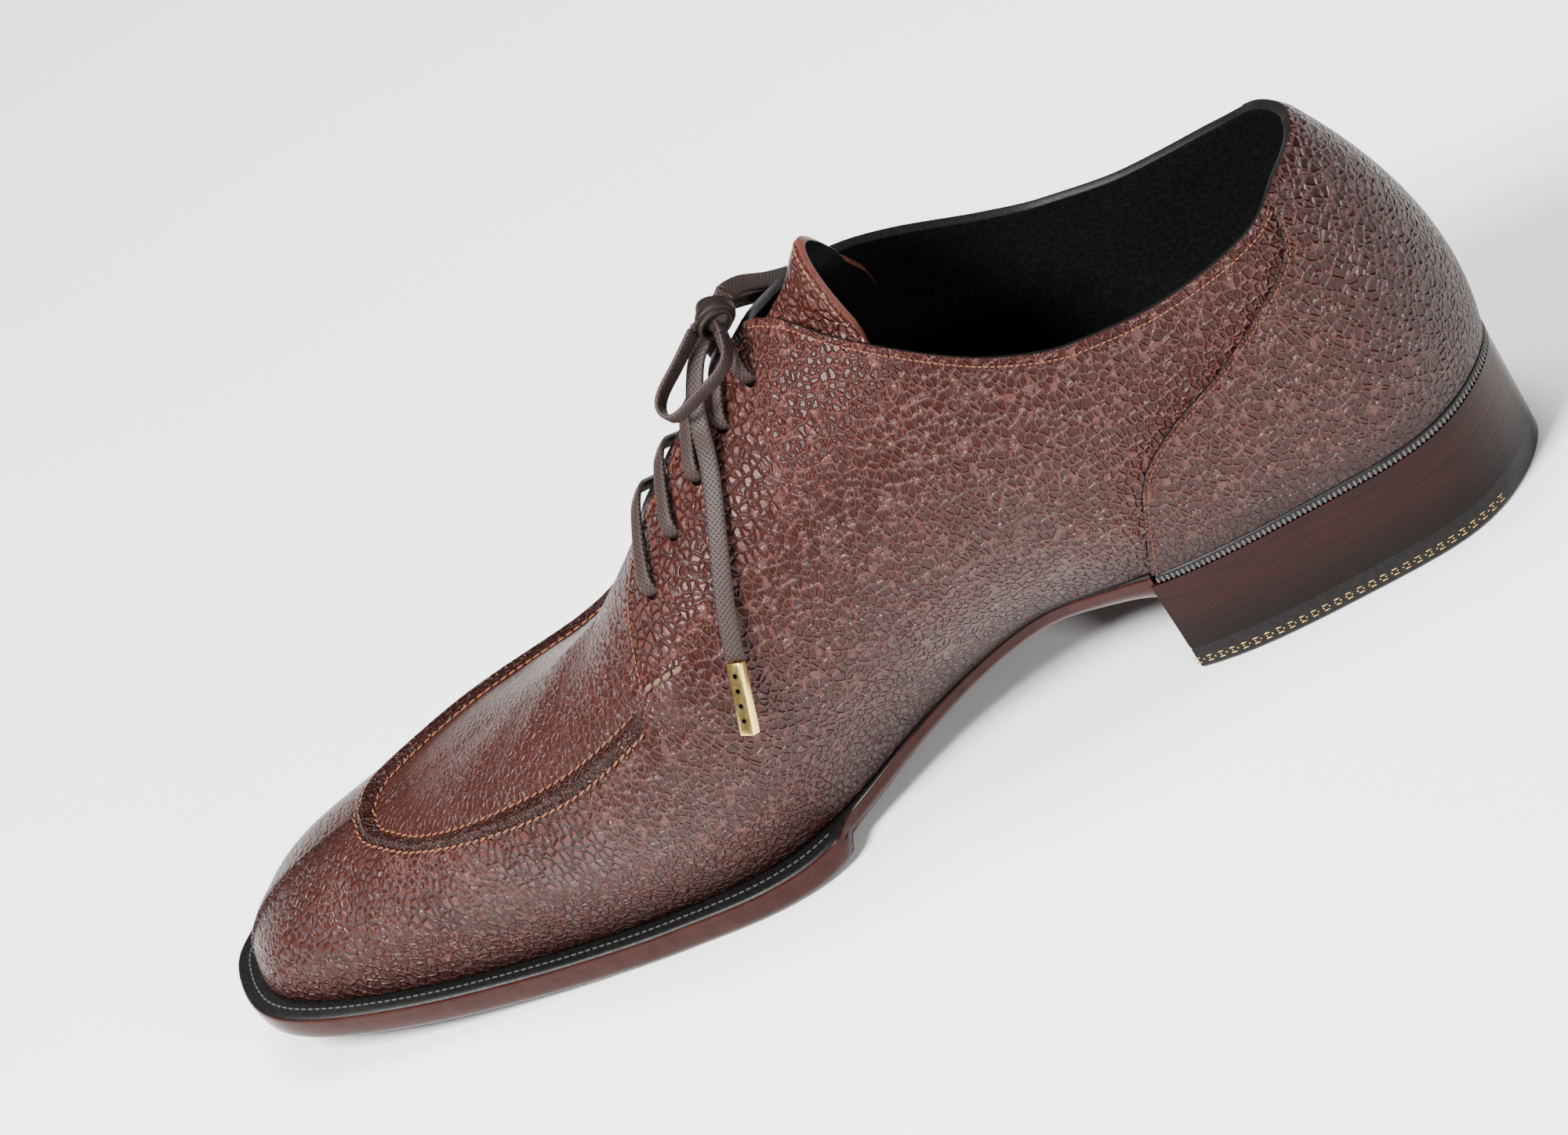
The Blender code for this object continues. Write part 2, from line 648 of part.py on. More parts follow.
def apply_boolean(item, other, operation):
    """Join or cut an object with another by an exact Boolean, kept as a live modifier."""
    modifier = item.modifiers.new(operation.title(), "BOOLEAN")
    modifier.operation = operation
    modifier.solver = "EXACT"
    modifier.object = other
    other.hide_render = True
    other.display_type = "WIRE"


def eyelet_frames():
    """Middle and outward normal of each eyelet, inner and outer side of each pair."""
    frames = []
    for eyelet in EYELETS:
        for sign, station, share in ((1, eyelet.inner_station, eyelet.inner_share),
                                     (-1, eyelet.outer_station, eyelet.outer_share)):
            turn = ring_places(sign, station)
            frames.append((last_surface(turn, share), last_normal(turn, share)))
    return frames


def build_eyelet_cutter(collection):
    """Ten short rods, one through each eyelet."""
    shape = bmesh.new()
    for centre, normal in eyelet_frames():
        turn = turned_to(normal)
        rod = bmesh.ops.create_cone(shape, cap_ends=True, segments=10, radius1=EYELET_RADIUS,
                                    radius2=EYELET_RADIUS, depth=6 * WALL)
        bmesh.ops.transform(shape, matrix=turn, verts=rod["verts"])
        bmesh.ops.translate(shape, vec=centre - normal * WALL / 2, verts=rod["verts"])
    mesh = bpy.data.meshes.new("eyelet_cutter")
    shape.to_mesh(mesh)
    shape.free()
    return link_mesh("eyelet_cutter", mesh, collection)


def turned_to(normal):
    """Rotation that turns +Z to a normal."""
    return Vector(normal).to_track_quat("Z", "Y").to_matrix().to_4x4()


def build_upper(collection, cutters, material):
    """The upper: wall and quarters, plug and raised seam joined, with the eyelets cut."""
    upper = build_wall(collection)
    upper.data.materials.append(material)
    apply_boolean(upper, build_plug(cutters), "UNION")
    apply_boolean(upper, build_apron_seam(cutters), "UNION")
    apply_boolean(upper, build_eyelet_cutter(cutters), "DIFFERENCE")
    return upper


def build_counter(collection, cutters, material):
    """Outside counter, laid over the quarters round the heel and cut along its seam."""
    stations = QUARTER_STATIONS[QUARTER_STATIONS < 4.5]
    turns = np.concatenate([-stations[:0:-1], stations])
    station, is_inner = station_of(turns)
    belt = belt_share(station, is_inner)
    low = np.linspace(0, 1, LOWER_ROWS)[None, :]
    high = np.linspace(0, 1, UPPER_ROWS)[None, 1:]
    collar = edge_share(COLLAR, turns)
    share = np.concatenate([belt[:, None] * low, belt[:, None] * (1 - high) + collar[:, None] * high], 1)
    place = np.repeat(turns[:, None], share.shape[1], axis=1) % RING
    cells = grid_cells(share.shape[0], share.shape[1])
    near = offset_surface(place, share, np.full(place.shape, GAP))
    far = offset_surface(place, share, np.full(place.shape, GAP + COUNTER_THICKNESS))
    faces = [flat_points(near), flat_points(far)]
    counter = closed_between("heel_counter", cells, faces, collection, material)
    rises = np.linspace(-0.08, 1.08, 16)
    steps = np.linspace(0, 1, 6)
    for sign, side in ((1, "inner"), (-1, "outer")):
        seam = smooth(rises, column(COUNTER_SEAM, "share"), column(COUNTER_SEAM, side))
        reach = seam[:, None] * (1 - steps[None, :]) + 4.9 * steps[None, :]
        place = ring_places(sign, reach)
        share = edge_share(COLLAR, place) * rises[:, None]
        cells = grid_cells(len(rises), len(steps))
        near = offset_surface(place, share, np.full(place.shape, -WALL))
        far = offset_surface(place, share, np.full(place.shape, 2 * WALL))
        faces = [flat_points(near), flat_points(far)]
        cutter = closed_between(f"counter_cutter_{side}", cells, faces, cutters)
        apply_boolean(counter, cutter, "DIFFERENCE")
    return counter


def tongue_sheet(deeper):
    """Face of the tongue: sides that follow the upper, joined by an arch from shoulder to shoulder."""
    stations = np.array(column(TONGUE_ROWS, "station"))
    half = np.array(column(TONGUE_ROWS, "half"))
    drop = np.array(column(TONGUE_ROWS, "drop"))
    climb = np.array([0, 0.5, 1])
    depth = -TONGUE_DEPTH - deeper
    sides = []
    slopes = []
    for place in (stations, RING - stations):
        shoulder = np.minimum(edge_share(COLLAR, place) + TONGUE_CLEAR, TONGUE_SHOULDER)
        share = (1 - half)[:, None] * (1 - climb) + shoulder[:, None] * climb
        sides.append(offset_surface(place[:, None], share, np.full(share.shape, depth)))
        below, above = (offset_surface(place, shoulder + step, np.full(len(place), depth))
                        for step in (-0.02, 0.0))
        slope = (above - below) / np.linalg.norm(above - below, axis=1, keepdims=True)
        slope += TONGUE_UPRIGHT * (1.0 - drop)[:, None] * np.array([0.3, 0.0, 1.0])
        slopes.append(slope / np.linalg.norm(slope, axis=1, keepdims=True))
    inner, outer = (side[:, -1] for side in sides)
    rise = last_surface(stations, 1.0)[:, 2] - TONGUE_DROP * drop - deeper - (inner + outer)[:, 2] / 2
    handle = (8 * rise / (3 * (slopes[0] + slopes[1])[:, 2]))[:, None]
    arch = []
    for t in (0.16, 0.34, 0.5, 0.66, 0.84):
        arch.append((1 - t) ** 3 * inner + 3 * (1 - t) ** 2 * t * (inner + slopes[0] * handle)
                    + 3 * (1 - t) * t**2 * (outer + slopes[1] * handle) + t**3 * outer)
    sheet = np.concatenate([sides[0], np.stack(arch, 1), sides[1][:, ::-1]], axis=1)
    sheet[..., 2] -= TONGUE_SINK * np.array(column(TONGUE_ROWS, "sink"))[:, None]
    return sheet


def build_tongue(collection, material):
    """Tongue under the facings, from under the plug to its free top behind the collar."""
    outer = tongue_sheet(0.0)
    inner = tongue_sheet(TONGUE_THICKNESS)
    cells = grid_cells(outer.shape[0], outer.shape[1])
    return closed_between("tongue", cells, [flat_points(inner), flat_points(outer)], collection, material)


def feather_outline(turn, margin):
    """Point of the feather line moved outwards in plan by a margin, with its share of LENGTH."""
    ahead = last_surface(turn + 0.01, 0.0)
    behind = last_surface(turn - 0.01, 0.0)
    path = (ahead - behind)[..., :2]
    normal = np.stack([path[..., 1], -path[..., 0]], -1)
    normal = -normal / np.linalg.norm(normal, axis=-1, keepdims=True)
    point = last_surface(turn, 0.0)[..., :2] + normal * np.asarray(margin, float)[..., None]
    return point, (point[..., 0] + ORIGIN_ALONG) / LENGTH


def rim_value(turn, name):
    """Read the table of the sole's rim at ring places."""
    station, is_inner = station_of(turn)
    places = column(RIMS, "station")
    inner = smooth(station, places, column(RIMS, "inner" + name))
    outer = smooth(station, places, column(RIMS, "outer" + name))
    return np.where(is_inner, inner, outer)


def sole_margin(turn):
    """How far the sole's upper edge stands out from the feather."""
    return MARGIN * rim_value(turn, "")


def sole_cut(turn):
    """How far the sole's lower edge lies inside its upper edge."""
    return BEVEL * rim_value(turn, "_cut")


SOLE_STATIONS = np.concatenate([np.array([0, 0.25, 0.5, 0.75, 1, 1.35, 1.7]), np.arange(2, 4.1, 0.5),
                                np.arange(4.33, 6.3, 0.33), [6.5, 6.7, 6.85, 7, 7.15, 7.35, 7.7],
                                np.arange(8, 9.8, 0.4), [10, 10.33, 10.66, 11, 11.25, 11.5, 11.75, 12, 12.5],
                                [13]])
CROSS = np.linspace(0, 1, 5)


def ladder(stations, margin_inner, margin_outer, height):
    """Sheet of rungs between the two sides of an outline, at heights read from the share of LENGTH."""
    inner, _ = feather_outline(ring_places(1, stations), margin_inner)
    outer, _ = feather_outline(ring_places(-1, stations), margin_outer)
    end = (stations == 0) | (stations == LAST)
    outer = np.where(end[:, None], inner, outer)
    plan = inner[:, None, :] * (1 - CROSS[None, :, None]) + outer[:, None, :] * CROSS[None, :, None]
    along = (plan[..., 0] + ORIGIN_ALONG) / LENGTH
    return np.concatenate([plan, height(along)[..., None]], -1)


def build_outsole(collection, material):
    """Outsole with its waist, toe spring and an edge that is bevelled under the waist."""
    inner_turn = ring_places(1, SOLE_STATIONS)
    outer_turn = ring_places(-1, SOLE_STATIONS)
    levels = []
    for share, cut in ((0.0, 1.0), (0.28, 0.35), (0.82, 0.0), (1.0, 0.08)):
        inner = sole_margin(inner_turn) - cut * sole_cut(inner_turn)
        outer = sole_margin(outer_turn) - cut * sole_cut(outer_turn)
        levels.append(ladder(SOLE_STATIONS, inner, outer,
                             lambda along, top=share: underside(along) * (1 - top) + sole_top(along) * top))
    cells = grid_cells(len(SOLE_STATIONS), len(CROSS))
    return closed_between("outsole", cells, [flat_points(level) for level in levels], collection, material)


def build_insole(collection, material):
    """Insole inside the welt and the upper."""
    stations = SOLE_STATIONS
    inset = np.full(len(stations), -(WELT_INNER_REACH + GAP))
    low = ladder(stations, inset, inset, lambda along: sole_top(along) + GAP)
    high = ladder(stations, inset, inset, lambda along: sole_top(along) + GAP + INSOLE_THICKNESS)
    cells = grid_cells(len(stations), len(CROSS))
    return closed_between("insole", cells, [flat_points(low), flat_points(high)], collection, material)


def build_band(name, turns, margin, collection, material):
    """Band of the welt's thickness between the outsole and the upper."""
    reach = np.linspace(0, 1, 3)
    sheets = []
    for share in (0.0, 1.0):
        rows = []
        for part in reach:
            plan, along = feather_outline(turns, -WELT_INNER_REACH * (1 - part) + margin * part)
            height = sole_top(along) + GAP + WELT_THICKNESS * share
            rows.append(np.concatenate([plan, height[:, None]], -1))
        sheets.append(flat_points(np.stack(rows, 1)))
    cells = grid_cells(len(turns), len(reach))
    return closed_between(name, cells, sheets, collection, material)


BREAST_STATION = 4.0
BAND_GAP = 0.02


def build_welt(collection, material):
    """Welt from the heel breast on the inner side round the toe to the breast on the outer side."""
    stations = SOLE_STATIONS[SOLE_STATIONS > BREAST_STATION]
    stations = np.concatenate([[BREAST_STATION + BAND_GAP], stations])
    turns = np.concatenate([stations, RING - stations[-2::-1]])
    return build_band("welt", turns, sole_margin(turns) - 0.0004, collection, material)


def build_rand(collection, material):
    """Seat band round the heel."""
    stations = SOLE_STATIONS[SOLE_STATIONS < BREAST_STATION]
    stations = np.concatenate([stations, [BREAST_STATION - BAND_GAP]])
    turns = np.concatenate([-stations[:0:-1], stations]) % RING
    return build_band("heel_rand", turns, sole_margin(turns), collection, material)


def heel_taper_share(sign, station):
    """Share of the heel's taper, which is stronger on the outer side."""
    return smooth(station, [0, 2, 5], [0.35, 0.40, 0.45] if sign > 0 else [0.35, 1.0, 1.0])


def heel_rows(taper, lean):
    """Rungs of the heel's outline from its back to the breast, drawn in by a taper towards the floor."""
    shares = np.array([0, 0.07, 0.14, 0.2, 0.27, 0.36, 0.45, 0.55, 0.7, 0.85, 1.0])
    sides = []
    for sign, front in ((1, HEEL_LENGTH + HEEL_SKEW / 2), (-1, HEEL_LENGTH - HEEL_SKEW / 2)):
        fine = np.linspace(0, 4.4, 221)
        turn = ring_places(sign, fine)
        margin = sole_margin(ring_places(sign, np.minimum(fine, 3.8)))
        points, _ = feather_outline(turn, margin - taper * heel_taper_share(sign, fine))
        last = np.interp(front - ORIGIN_ALONG - lean, points[20:, 0], fine[20:])
        station = shares * last
        turn = ring_places(sign, station)
        margin = sole_margin(ring_places(sign, np.minimum(station, 3.8)))
        side, _ = feather_outline(turn, margin - taper * heel_taper_share(sign, station))
        sides.append(side)
    inner, outer = sides
    outer[0] = inner[0]
    plan = inner[:, None, :] * (1 - CROSS[None, :, None]) + outer[:, None, :] * CROSS[None, :, None]
    bow = 4 * CROSS * (1 - CROSS)
    plan[..., 0] -= BREAST_HOLLOW * bow[None, :] * shares[:, None] ** 3
    return plan


def heel_sheet(taper, lean, height):
    """Sheet of the heel at a height, or at a height read from the share of LENGTH."""
    plan = heel_rows(taper, lean)
    along = (plan[..., 0] + ORIGIN_ALONG) / LENGTH
    level = height(along) if callable(height) else np.full(along.shape, height)
    return np.concatenate([plan, level[..., None]], -1)


HEEL_TAPER = 0.0030
BREAST_LEAN = 0.0010


def build_heel(collection, stack_material, piece_material):
    """Stacked heel and its top piece."""
    split = TOP_PIECE_THICKNESS
    part = split / HEEL_LIFT
    low = heel_sheet(HEEL_TAPER * (1 - part), -BREAST_LEAN * (1 - part), split + GAP)
    high = heel_sheet(0.0, 0.0, lambda along: underside(along) - GAP)
    rows = len(low)
    cells = grid_cells(rows, len(CROSS))
    closed_between("heel_stack", cells, [flat_points(low), flat_points(high)], collection, stack_material)
    floor = heel_sheet(HEEL_TAPER, -BREAST_LEAN, 0.0)
    top = heel_sheet(HEEL_TAPER * (1 - part), -BREAST_LEAN * (1 - part), split)
    closed_between("top_piece", cells, [flat_points(floor), flat_points(top)], collection, piece_material)


def lace_bar_centre(eyelet):
    """Middle line of a lace bar from the inner to the outer eyelet, rounded over the slot."""
    walk = np.linspace(0, 1, 6)
    middle = (eyelet.inner_station + eyelet.outer_station) / 2
    top = 0.972
    stations = [eyelet.inner_station * (1 - walk) + middle * walk,
                middle * (1 - walk) + eyelet.outer_station * walk]
    shares = [eyelet.inner_share * (1 - walk) + top * walk, top * (1 - walk) + eyelet.outer_share * walk]
    turn = np.concatenate([stations[0], RING - stations[1]])
    share = np.concatenate(shares)
    return last_surface(turn, share), last_normal(turn, share)


def build_lace_bars(collection, material):
    """Straight bars of flat lace between the eyelets of each pair."""
    for number, eyelet in enumerate(EYELETS, start=1):
        centre, normal = lace_bar_centre(eyelet)
        run = np.gradient(centre, axis=0)
        across = np.cross(normal, run)
        across = across / np.linalg.norm(across, axis=-1, keepdims=True)
        sheets = []
        for lift in (BAR_LIFT, BAR_LIFT + LACE_THICKNESS):
            rows = [centre + normal * lift + across * LACE_WIDTH * part for part in (-0.5, 0.0, 0.5)]
            sheets.append(flat_points(np.stack(rows, 1)))
        cells = grid_cells(len(centre), 3)
        closed_between(f"lace_bar_{number}", cells, sheets, collection, material)


def smooth_route(points, spacing):
    """Points at an even spacing along a smooth curve through a route."""
    points = np.array(points)
    chord = np.concatenate([[0], np.cumsum(np.linalg.norm(np.diff(points, axis=0), axis=1) ** 0.5)])
    count = len(points)
    step = np.diff(chord)
    matrix = np.eye(count)
    pull = np.zeros_like(points)
    for k in range(1, count - 1):
        matrix[k, k - 1:k + 2] = (step[k - 1], 2 * (step[k - 1] + step[k]), step[k])
        pull[k] = 6 * ((points[k + 1] - points[k]) / step[k] - (points[k] - points[k - 1]) / step[k - 1])
    bend = np.linalg.solve(matrix, pull)

    def at(place):
        k = np.clip(np.searchsorted(chord, place, side="right") - 1, 0, count - 2)
        after = (place - chord[k])[:, None]
        before = (chord[k + 1] - place)[:, None]
        width = step[k][:, None]
        curve = (bend[k] * before**3 + bend[k + 1] * after**3) / (6 * width)
        curve = curve + (points[k] / width - bend[k] * width / 6) * before
        return curve + (points[k + 1] / width - bend[k + 1] * width / 6) * after

    fine = at(np.linspace(0, chord[-1], 400))
    length = np.concatenate([[0], np.cumsum(np.linalg.norm(np.diff(fine, axis=0), axis=1))])
    marks = np.linspace(0, length[-1], max(2, round(length[-1] / spacing) + 1))
    return np.stack([np.interp(marks, length, fine[:, k]) for k in range(3)], 1)


def build_cord(name, collection, material):
    """Round cord along one of the lace's routes."""
    points = smooth_route(LACE_ROUTES[name], 2 * CORD_DIAMETER)
    curve = bpy.data.curves.new(name, "CURVE")
    curve.dimensions = "3D"
    curve.bevel_depth = CORD_DIAMETER / 2
    curve.bevel_resolution = 1
    curve.use_fill_caps = True
    spline = curve.splines.new("POLY")
    spline.points.add(len(points) - 1)
    for place, point in zip(spline.points, points):
        place.co = (*point, 1.0)
    curve.materials.append(material)
    cord = bpy.data.objects.new(name, curve)
    collection.objects.link(cord)
    return points


def build_aglet(name, points, collection, material):
    """Metal tip in line with the end of a cord."""
    direction = points[-1] - points[-2]
    direction = direction / np.linalg.norm(direction)
    bpy.ops.mesh.primitive_cylinder_add(vertices=12, radius=AGLET_RADIUS, depth=AGLET_LENGTH)
    aglet = bpy.context.active_object
    aglet.name = name
    aglet.data.name = name
    for owner in list(aglet.users_collection):
        owner.objects.unlink(aglet)
    collection.objects.link(aglet)
    aglet.rotation_euler = Vector(direction).to_track_quat("Z", "Y").to_euler()
    aglet.location = points[-1] + direction * (GAP + AGLET_LENGTH / 2)
    aglet.data.materials.append(material)


def build_knot(collection, material):
    """Knot of the bow, as one rounded body."""
    bpy.ops.mesh.primitive_uv_sphere_add(segments=12, ring_count=8, radius=1.0, location=KNOT_MIDDLE)
    knot = bpy.context.active_object
    knot.name = "lace_knot"
    knot.data.name = "lace_knot"
    for owner in list(knot.users_collection):
        owner.objects.unlink(knot)
    collection.objects.link(knot)
    knot.scale = KNOT_SIZE
    knot.data.materials.append(material)


def build_bow(collection, lace_material, metal_material):
    """The knot with its two loops, its two ends and their tips."""
    build_knot(collection, lace_material)
    for side in ("inner", "outer"):
        build_cord(f"lace_loop_{side}", collection, lace_material)
        points = build_cord(f"lace_end_{side}", collection, lace_material)
        build_aglet(f"aglet_{side}", points, collection, metal_material)


def main():
    """Clear the scene and build the shoe."""
    for item in list(bpy.data.objects):
        bpy.data.objects.remove(item, do_unlink=True)
    shoe = new_collection("split_toe_derby")
    cutters = new_collection("cutters")
    finish = {name: make_material(name) for name in FINISHES}
    build_upper(shoe, cutters, finish["grain_leather"])
    build_counter(shoe, cutters, finish["grain_leather"])
    build_tongue(shoe, finish["grain_leather"])
    build_insole(shoe, finish["black_leather"])
    build_outsole(shoe, finish["sole_edge"])
    build_welt(shoe, finish["black_leather"])
    build_rand(shoe, finish["black_leather"])
    build_heel(shoe, finish["stacked_leather"], finish["rubber"])
    build_lace_bars(shoe, finish["waxed_lace"])
    build_bow(shoe, finish["waxed_lace"], finish["brass"])


main()
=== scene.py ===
"""Looks of a split toe derby, right shoe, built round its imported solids.

+X points to the toe, +Y to the inner side and +Z up, in metres, with the origin on the floor under the heel.
"""
import logging
import math
from contextlib import contextmanager
from dataclasses import dataclass
from enum import Enum
from typing import Callable, Iterator, NamedTuple, Sequence

import bpy
import numpy as np
from mathutils import Matrix, Vector


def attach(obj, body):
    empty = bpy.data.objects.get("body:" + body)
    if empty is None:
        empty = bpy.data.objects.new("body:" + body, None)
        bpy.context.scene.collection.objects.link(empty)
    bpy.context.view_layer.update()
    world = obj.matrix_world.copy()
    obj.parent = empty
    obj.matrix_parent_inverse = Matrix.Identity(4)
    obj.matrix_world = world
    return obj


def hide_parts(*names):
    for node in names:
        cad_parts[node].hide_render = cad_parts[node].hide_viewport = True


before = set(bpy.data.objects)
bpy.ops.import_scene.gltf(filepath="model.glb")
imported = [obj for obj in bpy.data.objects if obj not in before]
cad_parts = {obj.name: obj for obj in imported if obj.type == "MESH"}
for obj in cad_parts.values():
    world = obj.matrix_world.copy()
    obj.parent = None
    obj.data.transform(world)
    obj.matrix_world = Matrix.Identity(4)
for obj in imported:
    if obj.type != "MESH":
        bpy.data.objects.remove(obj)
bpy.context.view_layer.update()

log = logging.getLogger("shoe")
Array = np.ndarray
Triple = tuple[float, float, float]
Item = bpy.types.Object
Material = bpy.types.Material
Node = bpy.types.Node
Socket = bpy.types.NodeSocket


class Hand(Enum):
    """The two sides of the shoe."""

    INNER = -1.0
    OUTER = 1.0

    @property
    def side(self) -> str:
        """The side's name in the names of pieces."""
        return self.name.lower()


# Places and sizes shared by all pieces, in metres
LENGTH = 0.302
BALL_WIDTH = 0.0975
INSTEP_HEIGHT = 0.100
HEEL_LIFT = 0.0218
TOE_SPRING = 0.0115
HEEL_LENGTH = 0.0785
HEEL_SKEW = 0.0060
HEEL_TAPER = 0.0030
BREAST_LEAN = 0.0010
BREAST_HOLLOW = 0.0040
TOP_PIECE_THICKNESS = 0.0060
ORIGIN_ALONG = HEEL_LENGTH / 2
GAP = 0.0003
SOLE_THICKNESS = 0.0045
WAIST_THINNING = 0.0012
WELT_THICKNESS = 0.0022
WALL = 0.0020


class HalfSection(NamedTuple):
    """One side of a section of the last, in shares and degrees."""

    along: float
    out: float
    lean: float
    rise: float
    tilt: float
    reach: float


class Section(NamedTuple):
    """A section of the last from the feather on both sides to the crest."""

    crest: float
    inner: HalfSection
    outer: HalfSection


class Edge(NamedTuple):
    """Share of the way up to the crest, on both sides, over the section number."""

    station: float
    inner: float
    outer: float


SECTIONS = (
    Section(0.166, HalfSection(0.007, 0.000, 15, 0.36, 50, 0.615), HalfSection(0.007, 0.000, 15, 0.36, 50, 0.615)),
    Section(0.172, HalfSection(0.028, 0.159, 15, 0.36, 52, 0.585), HalfSection(0.028, 0.159, 15, 0.36, 52, 0.585)),
    Section(0.185, HalfSection(0.073, 0.256, 12, 0.35, 56, 0.533), HalfSection(0.073, 0.267, 12, 0.35, 56, 0.533)),
    Section(0.225, HalfSection(0.152, 0.287, 12, 0.34, 60, 0.451), HalfSection(0.152, 0.308, 12, 0.34, 60, 0.451)),
    Section(0.298, HalfSection(0.265, 0.277, 22, 0.38, 54, 0.410), HalfSection(0.258, 0.344, 14, 0.36, 56, 0.410)),
    Section(0.371, HalfSection(0.364, 0.164, 44, 0.52, 40, 0.349), HalfSection(0.358, 0.379, 20, 0.44, 48, 0.390)),
    Section(0.454, HalfSection(0.467, 0.190, 44, 0.54, 27, 0.287), HalfSection(0.450, 0.467, 14, 0.46, 40, 0.328)),
    Section(0.543, HalfSection(0.563, 0.338, 30, 0.50, 15, 0.318), HalfSection(0.550, 0.533, 10, 0.38, 33, 0.369)),
    Section(0.626, HalfSection(0.669, 0.354, 27, 0.44, 7, 0.369), HalfSection(0.662, 0.513, 10, 0.24, 31, 0.328)),
    Section(0.699, HalfSection(0.778, 0.313, 22, 0.34, 4, 0.338), HalfSection(0.772, 0.420, 4, 0.23, 18, 0.287)),
    Section(0.762, HalfSection(0.874, 0.267, 14, 0.22, 7, 0.256), HalfSection(0.868, 0.318, 2, 0.19, 12, 0.246)),
    Section(0.798, HalfSection(0.950, 0.195, 4, 0.15, 11, 0.267), HalfSection(0.947, 0.215, -2, 0.15, 11, 0.267)),
    Section(0.815, HalfSection(0.977, 0.103, -4, 0.13, 10, 0.267), HalfSection(0.975, 0.092, -4, 0.13, 10, 0.267)),
    Section(0.821, HalfSection(0.983, -0.010, -5, 0.13, 10, 0.267), HalfSection(0.983, -0.010, -5, 0.13, 10, 0.267)),
)
LAST_STATION = len(SECTIONS) - 1
RING = 2 * LAST_STATION

# Underside of the sole: share of LENGTH, share of HEEL_LIFT, share of TOE_SPRING
UNDERSIDE = (
    (0.000, 1.000, 0.00),
    (0.132, 0.985, 0.00),
    (0.265, 0.945, 0.00),
    (0.331, 0.830, 0.00),
    (0.397, 0.585, 0.00),
    (0.464, 0.300, 0.00),
    (0.530, 0.090, 0.00),
    (0.580, 0.015, 0.00),
    (0.630, 0.000, 0.00),
    (0.680, 0.000, 0.00),
    (0.745, 0.000, 0.07),
    (0.828, 0.000, 0.28),
    (0.911, 0.000, 0.60),
    (1.000, 0.000, 1.00),
)
# Crest of the instep: share of LENGTH, height as a share of INSTEP_HEIGHT, shift as a share of BALL_WIDTH
CREST = (
    (0.166, 1.280, 0.000),
    (0.248, 1.203, 0.000),
    (0.331, 1.095, 0.005),
    (0.430, 0.985, 0.026),
    (0.497, 0.910, 0.046),
    (0.546, 0.828, 0.056),
    (0.589, 0.723, 0.056),
    (0.629, 0.630, 0.051),
    (0.679, 0.560, 0.046),
    (0.728, 0.505, 0.041),
    (0.778, 0.453, 0.039),
    (0.828, 0.396, 0.036),
)
COLLAR = (
    Edge(0.0, 0.575, 0.575),
    Edge(1.0, 0.558, 0.560),
    Edge(2.0, 0.513, 0.522),
    Edge(3.0, 0.487, 0.506),
    Edge(3.6, 0.512, 0.535),
    Edge(4.0, 0.563, 0.592),
    Edge(4.5, 0.663, 0.715),
    Edge(5.0, 0.800, 0.865),
    Edge(5.35, 0.925, 0.945),
    Edge(5.65, 0.986, 0.986),
    Edge(6.2, 0.982, 0.982),
    Edge(6.8, 0.970, 0.968),
    Edge(7.36, 0.945, 0.945),
)
APRON_OUTER_ROW = (
    Edge(7.36, 0.500, 0.556),
    Edge(8.0, 0.487, 0.563),
    Edge(8.6, 0.498, 0.573),
    Edge(9.0, 0.517, 0.581),
    Edge(9.5, 0.558, 0.600),
    Edge(10.3, 0.668, 0.665),
    Edge(11.2, 0.785, 0.775),
    Edge(12.0, 0.838, 0.838),
    Edge(13.0, 0.862, 0.862),
)
APRON_INNER_ROW = (
    Edge(7.36, 0.556, 0.612),
    Edge(8.0, 0.560, 0.628),
    Edge(8.6, 0.566, 0.636),
    Edge(9.0, 0.576, 0.648),
    Edge(9.5, 0.612, 0.668),
    Edge(10.3, 0.722, 0.742),
    Edge(11.2, 0.838, 0.838),
    Edge(12.0, 0.888, 0.888),
    Edge(13.0, 0.908, 0.908),
)
TONGUE_DEPTH = 0.0030
TONGUE_DROP = 0.0050
TONGUE_SINK = 0.0018
TONGUE_SHOULDER = 0.88
TONGUE_CLEAR = 0.015
TONGUE_UPRIGHT = 4.0
# How much further the tongue's outer side reaches down, over the station
TONGUE_WIDER = ((4.84, -0.04), (4.98, 0.03), (5.14, 0.08), (5.34, 0.15), (5.65, 0.13), (6.4, 0.06), (7.9, 0.0))
# Tongue from its free top down: station, half width, drop of the middle and sink of the row
TONGUE_ROWS = (
    (4.84, 0.310, 0.62, 0.00),
    (4.90, 0.355, 0.62, 0.00),
    (5.00, 0.385, 0.68, 0.00),
    (5.14, 0.395, 0.88, 0.00),
    (5.34, 0.390, 1.00, 0.00),
    (5.65, 0.365, 1.00, 0.00),
    (6.00, 0.335, 1.00, 0.00),
    (6.40, 0.300, 1.00, 0.00),
    (6.80, 0.280, 1.00, 0.00),
    (7.20, 0.260, 1.00, 0.60),
    (7.60, 0.250, 1.00, 0.80),
    (7.90, 0.230, 1.00, 1.00),
)
THROAT = 7.36
THROAT_ROUNDING = 0.45
THROAT_ROUNDING_START = 0.80
WARP_START = 6.2
# Foremost section number of the counter, inner and outer, over the share of its height
COUNTER_SEAM = (
    Edge(0.00, 4.00, 3.52),
    Edge(0.24, 3.88, 3.54),
    Edge(0.44, 3.72, 3.46),
    Edge(0.58, 3.42, 3.26),
    Edge(0.68, 3.00, 2.96),
    Edge(0.78, 2.48, 2.50),
    Edge(0.88, 1.80, 1.95),
    Edge(1.00, 1.45, 1.50),
)
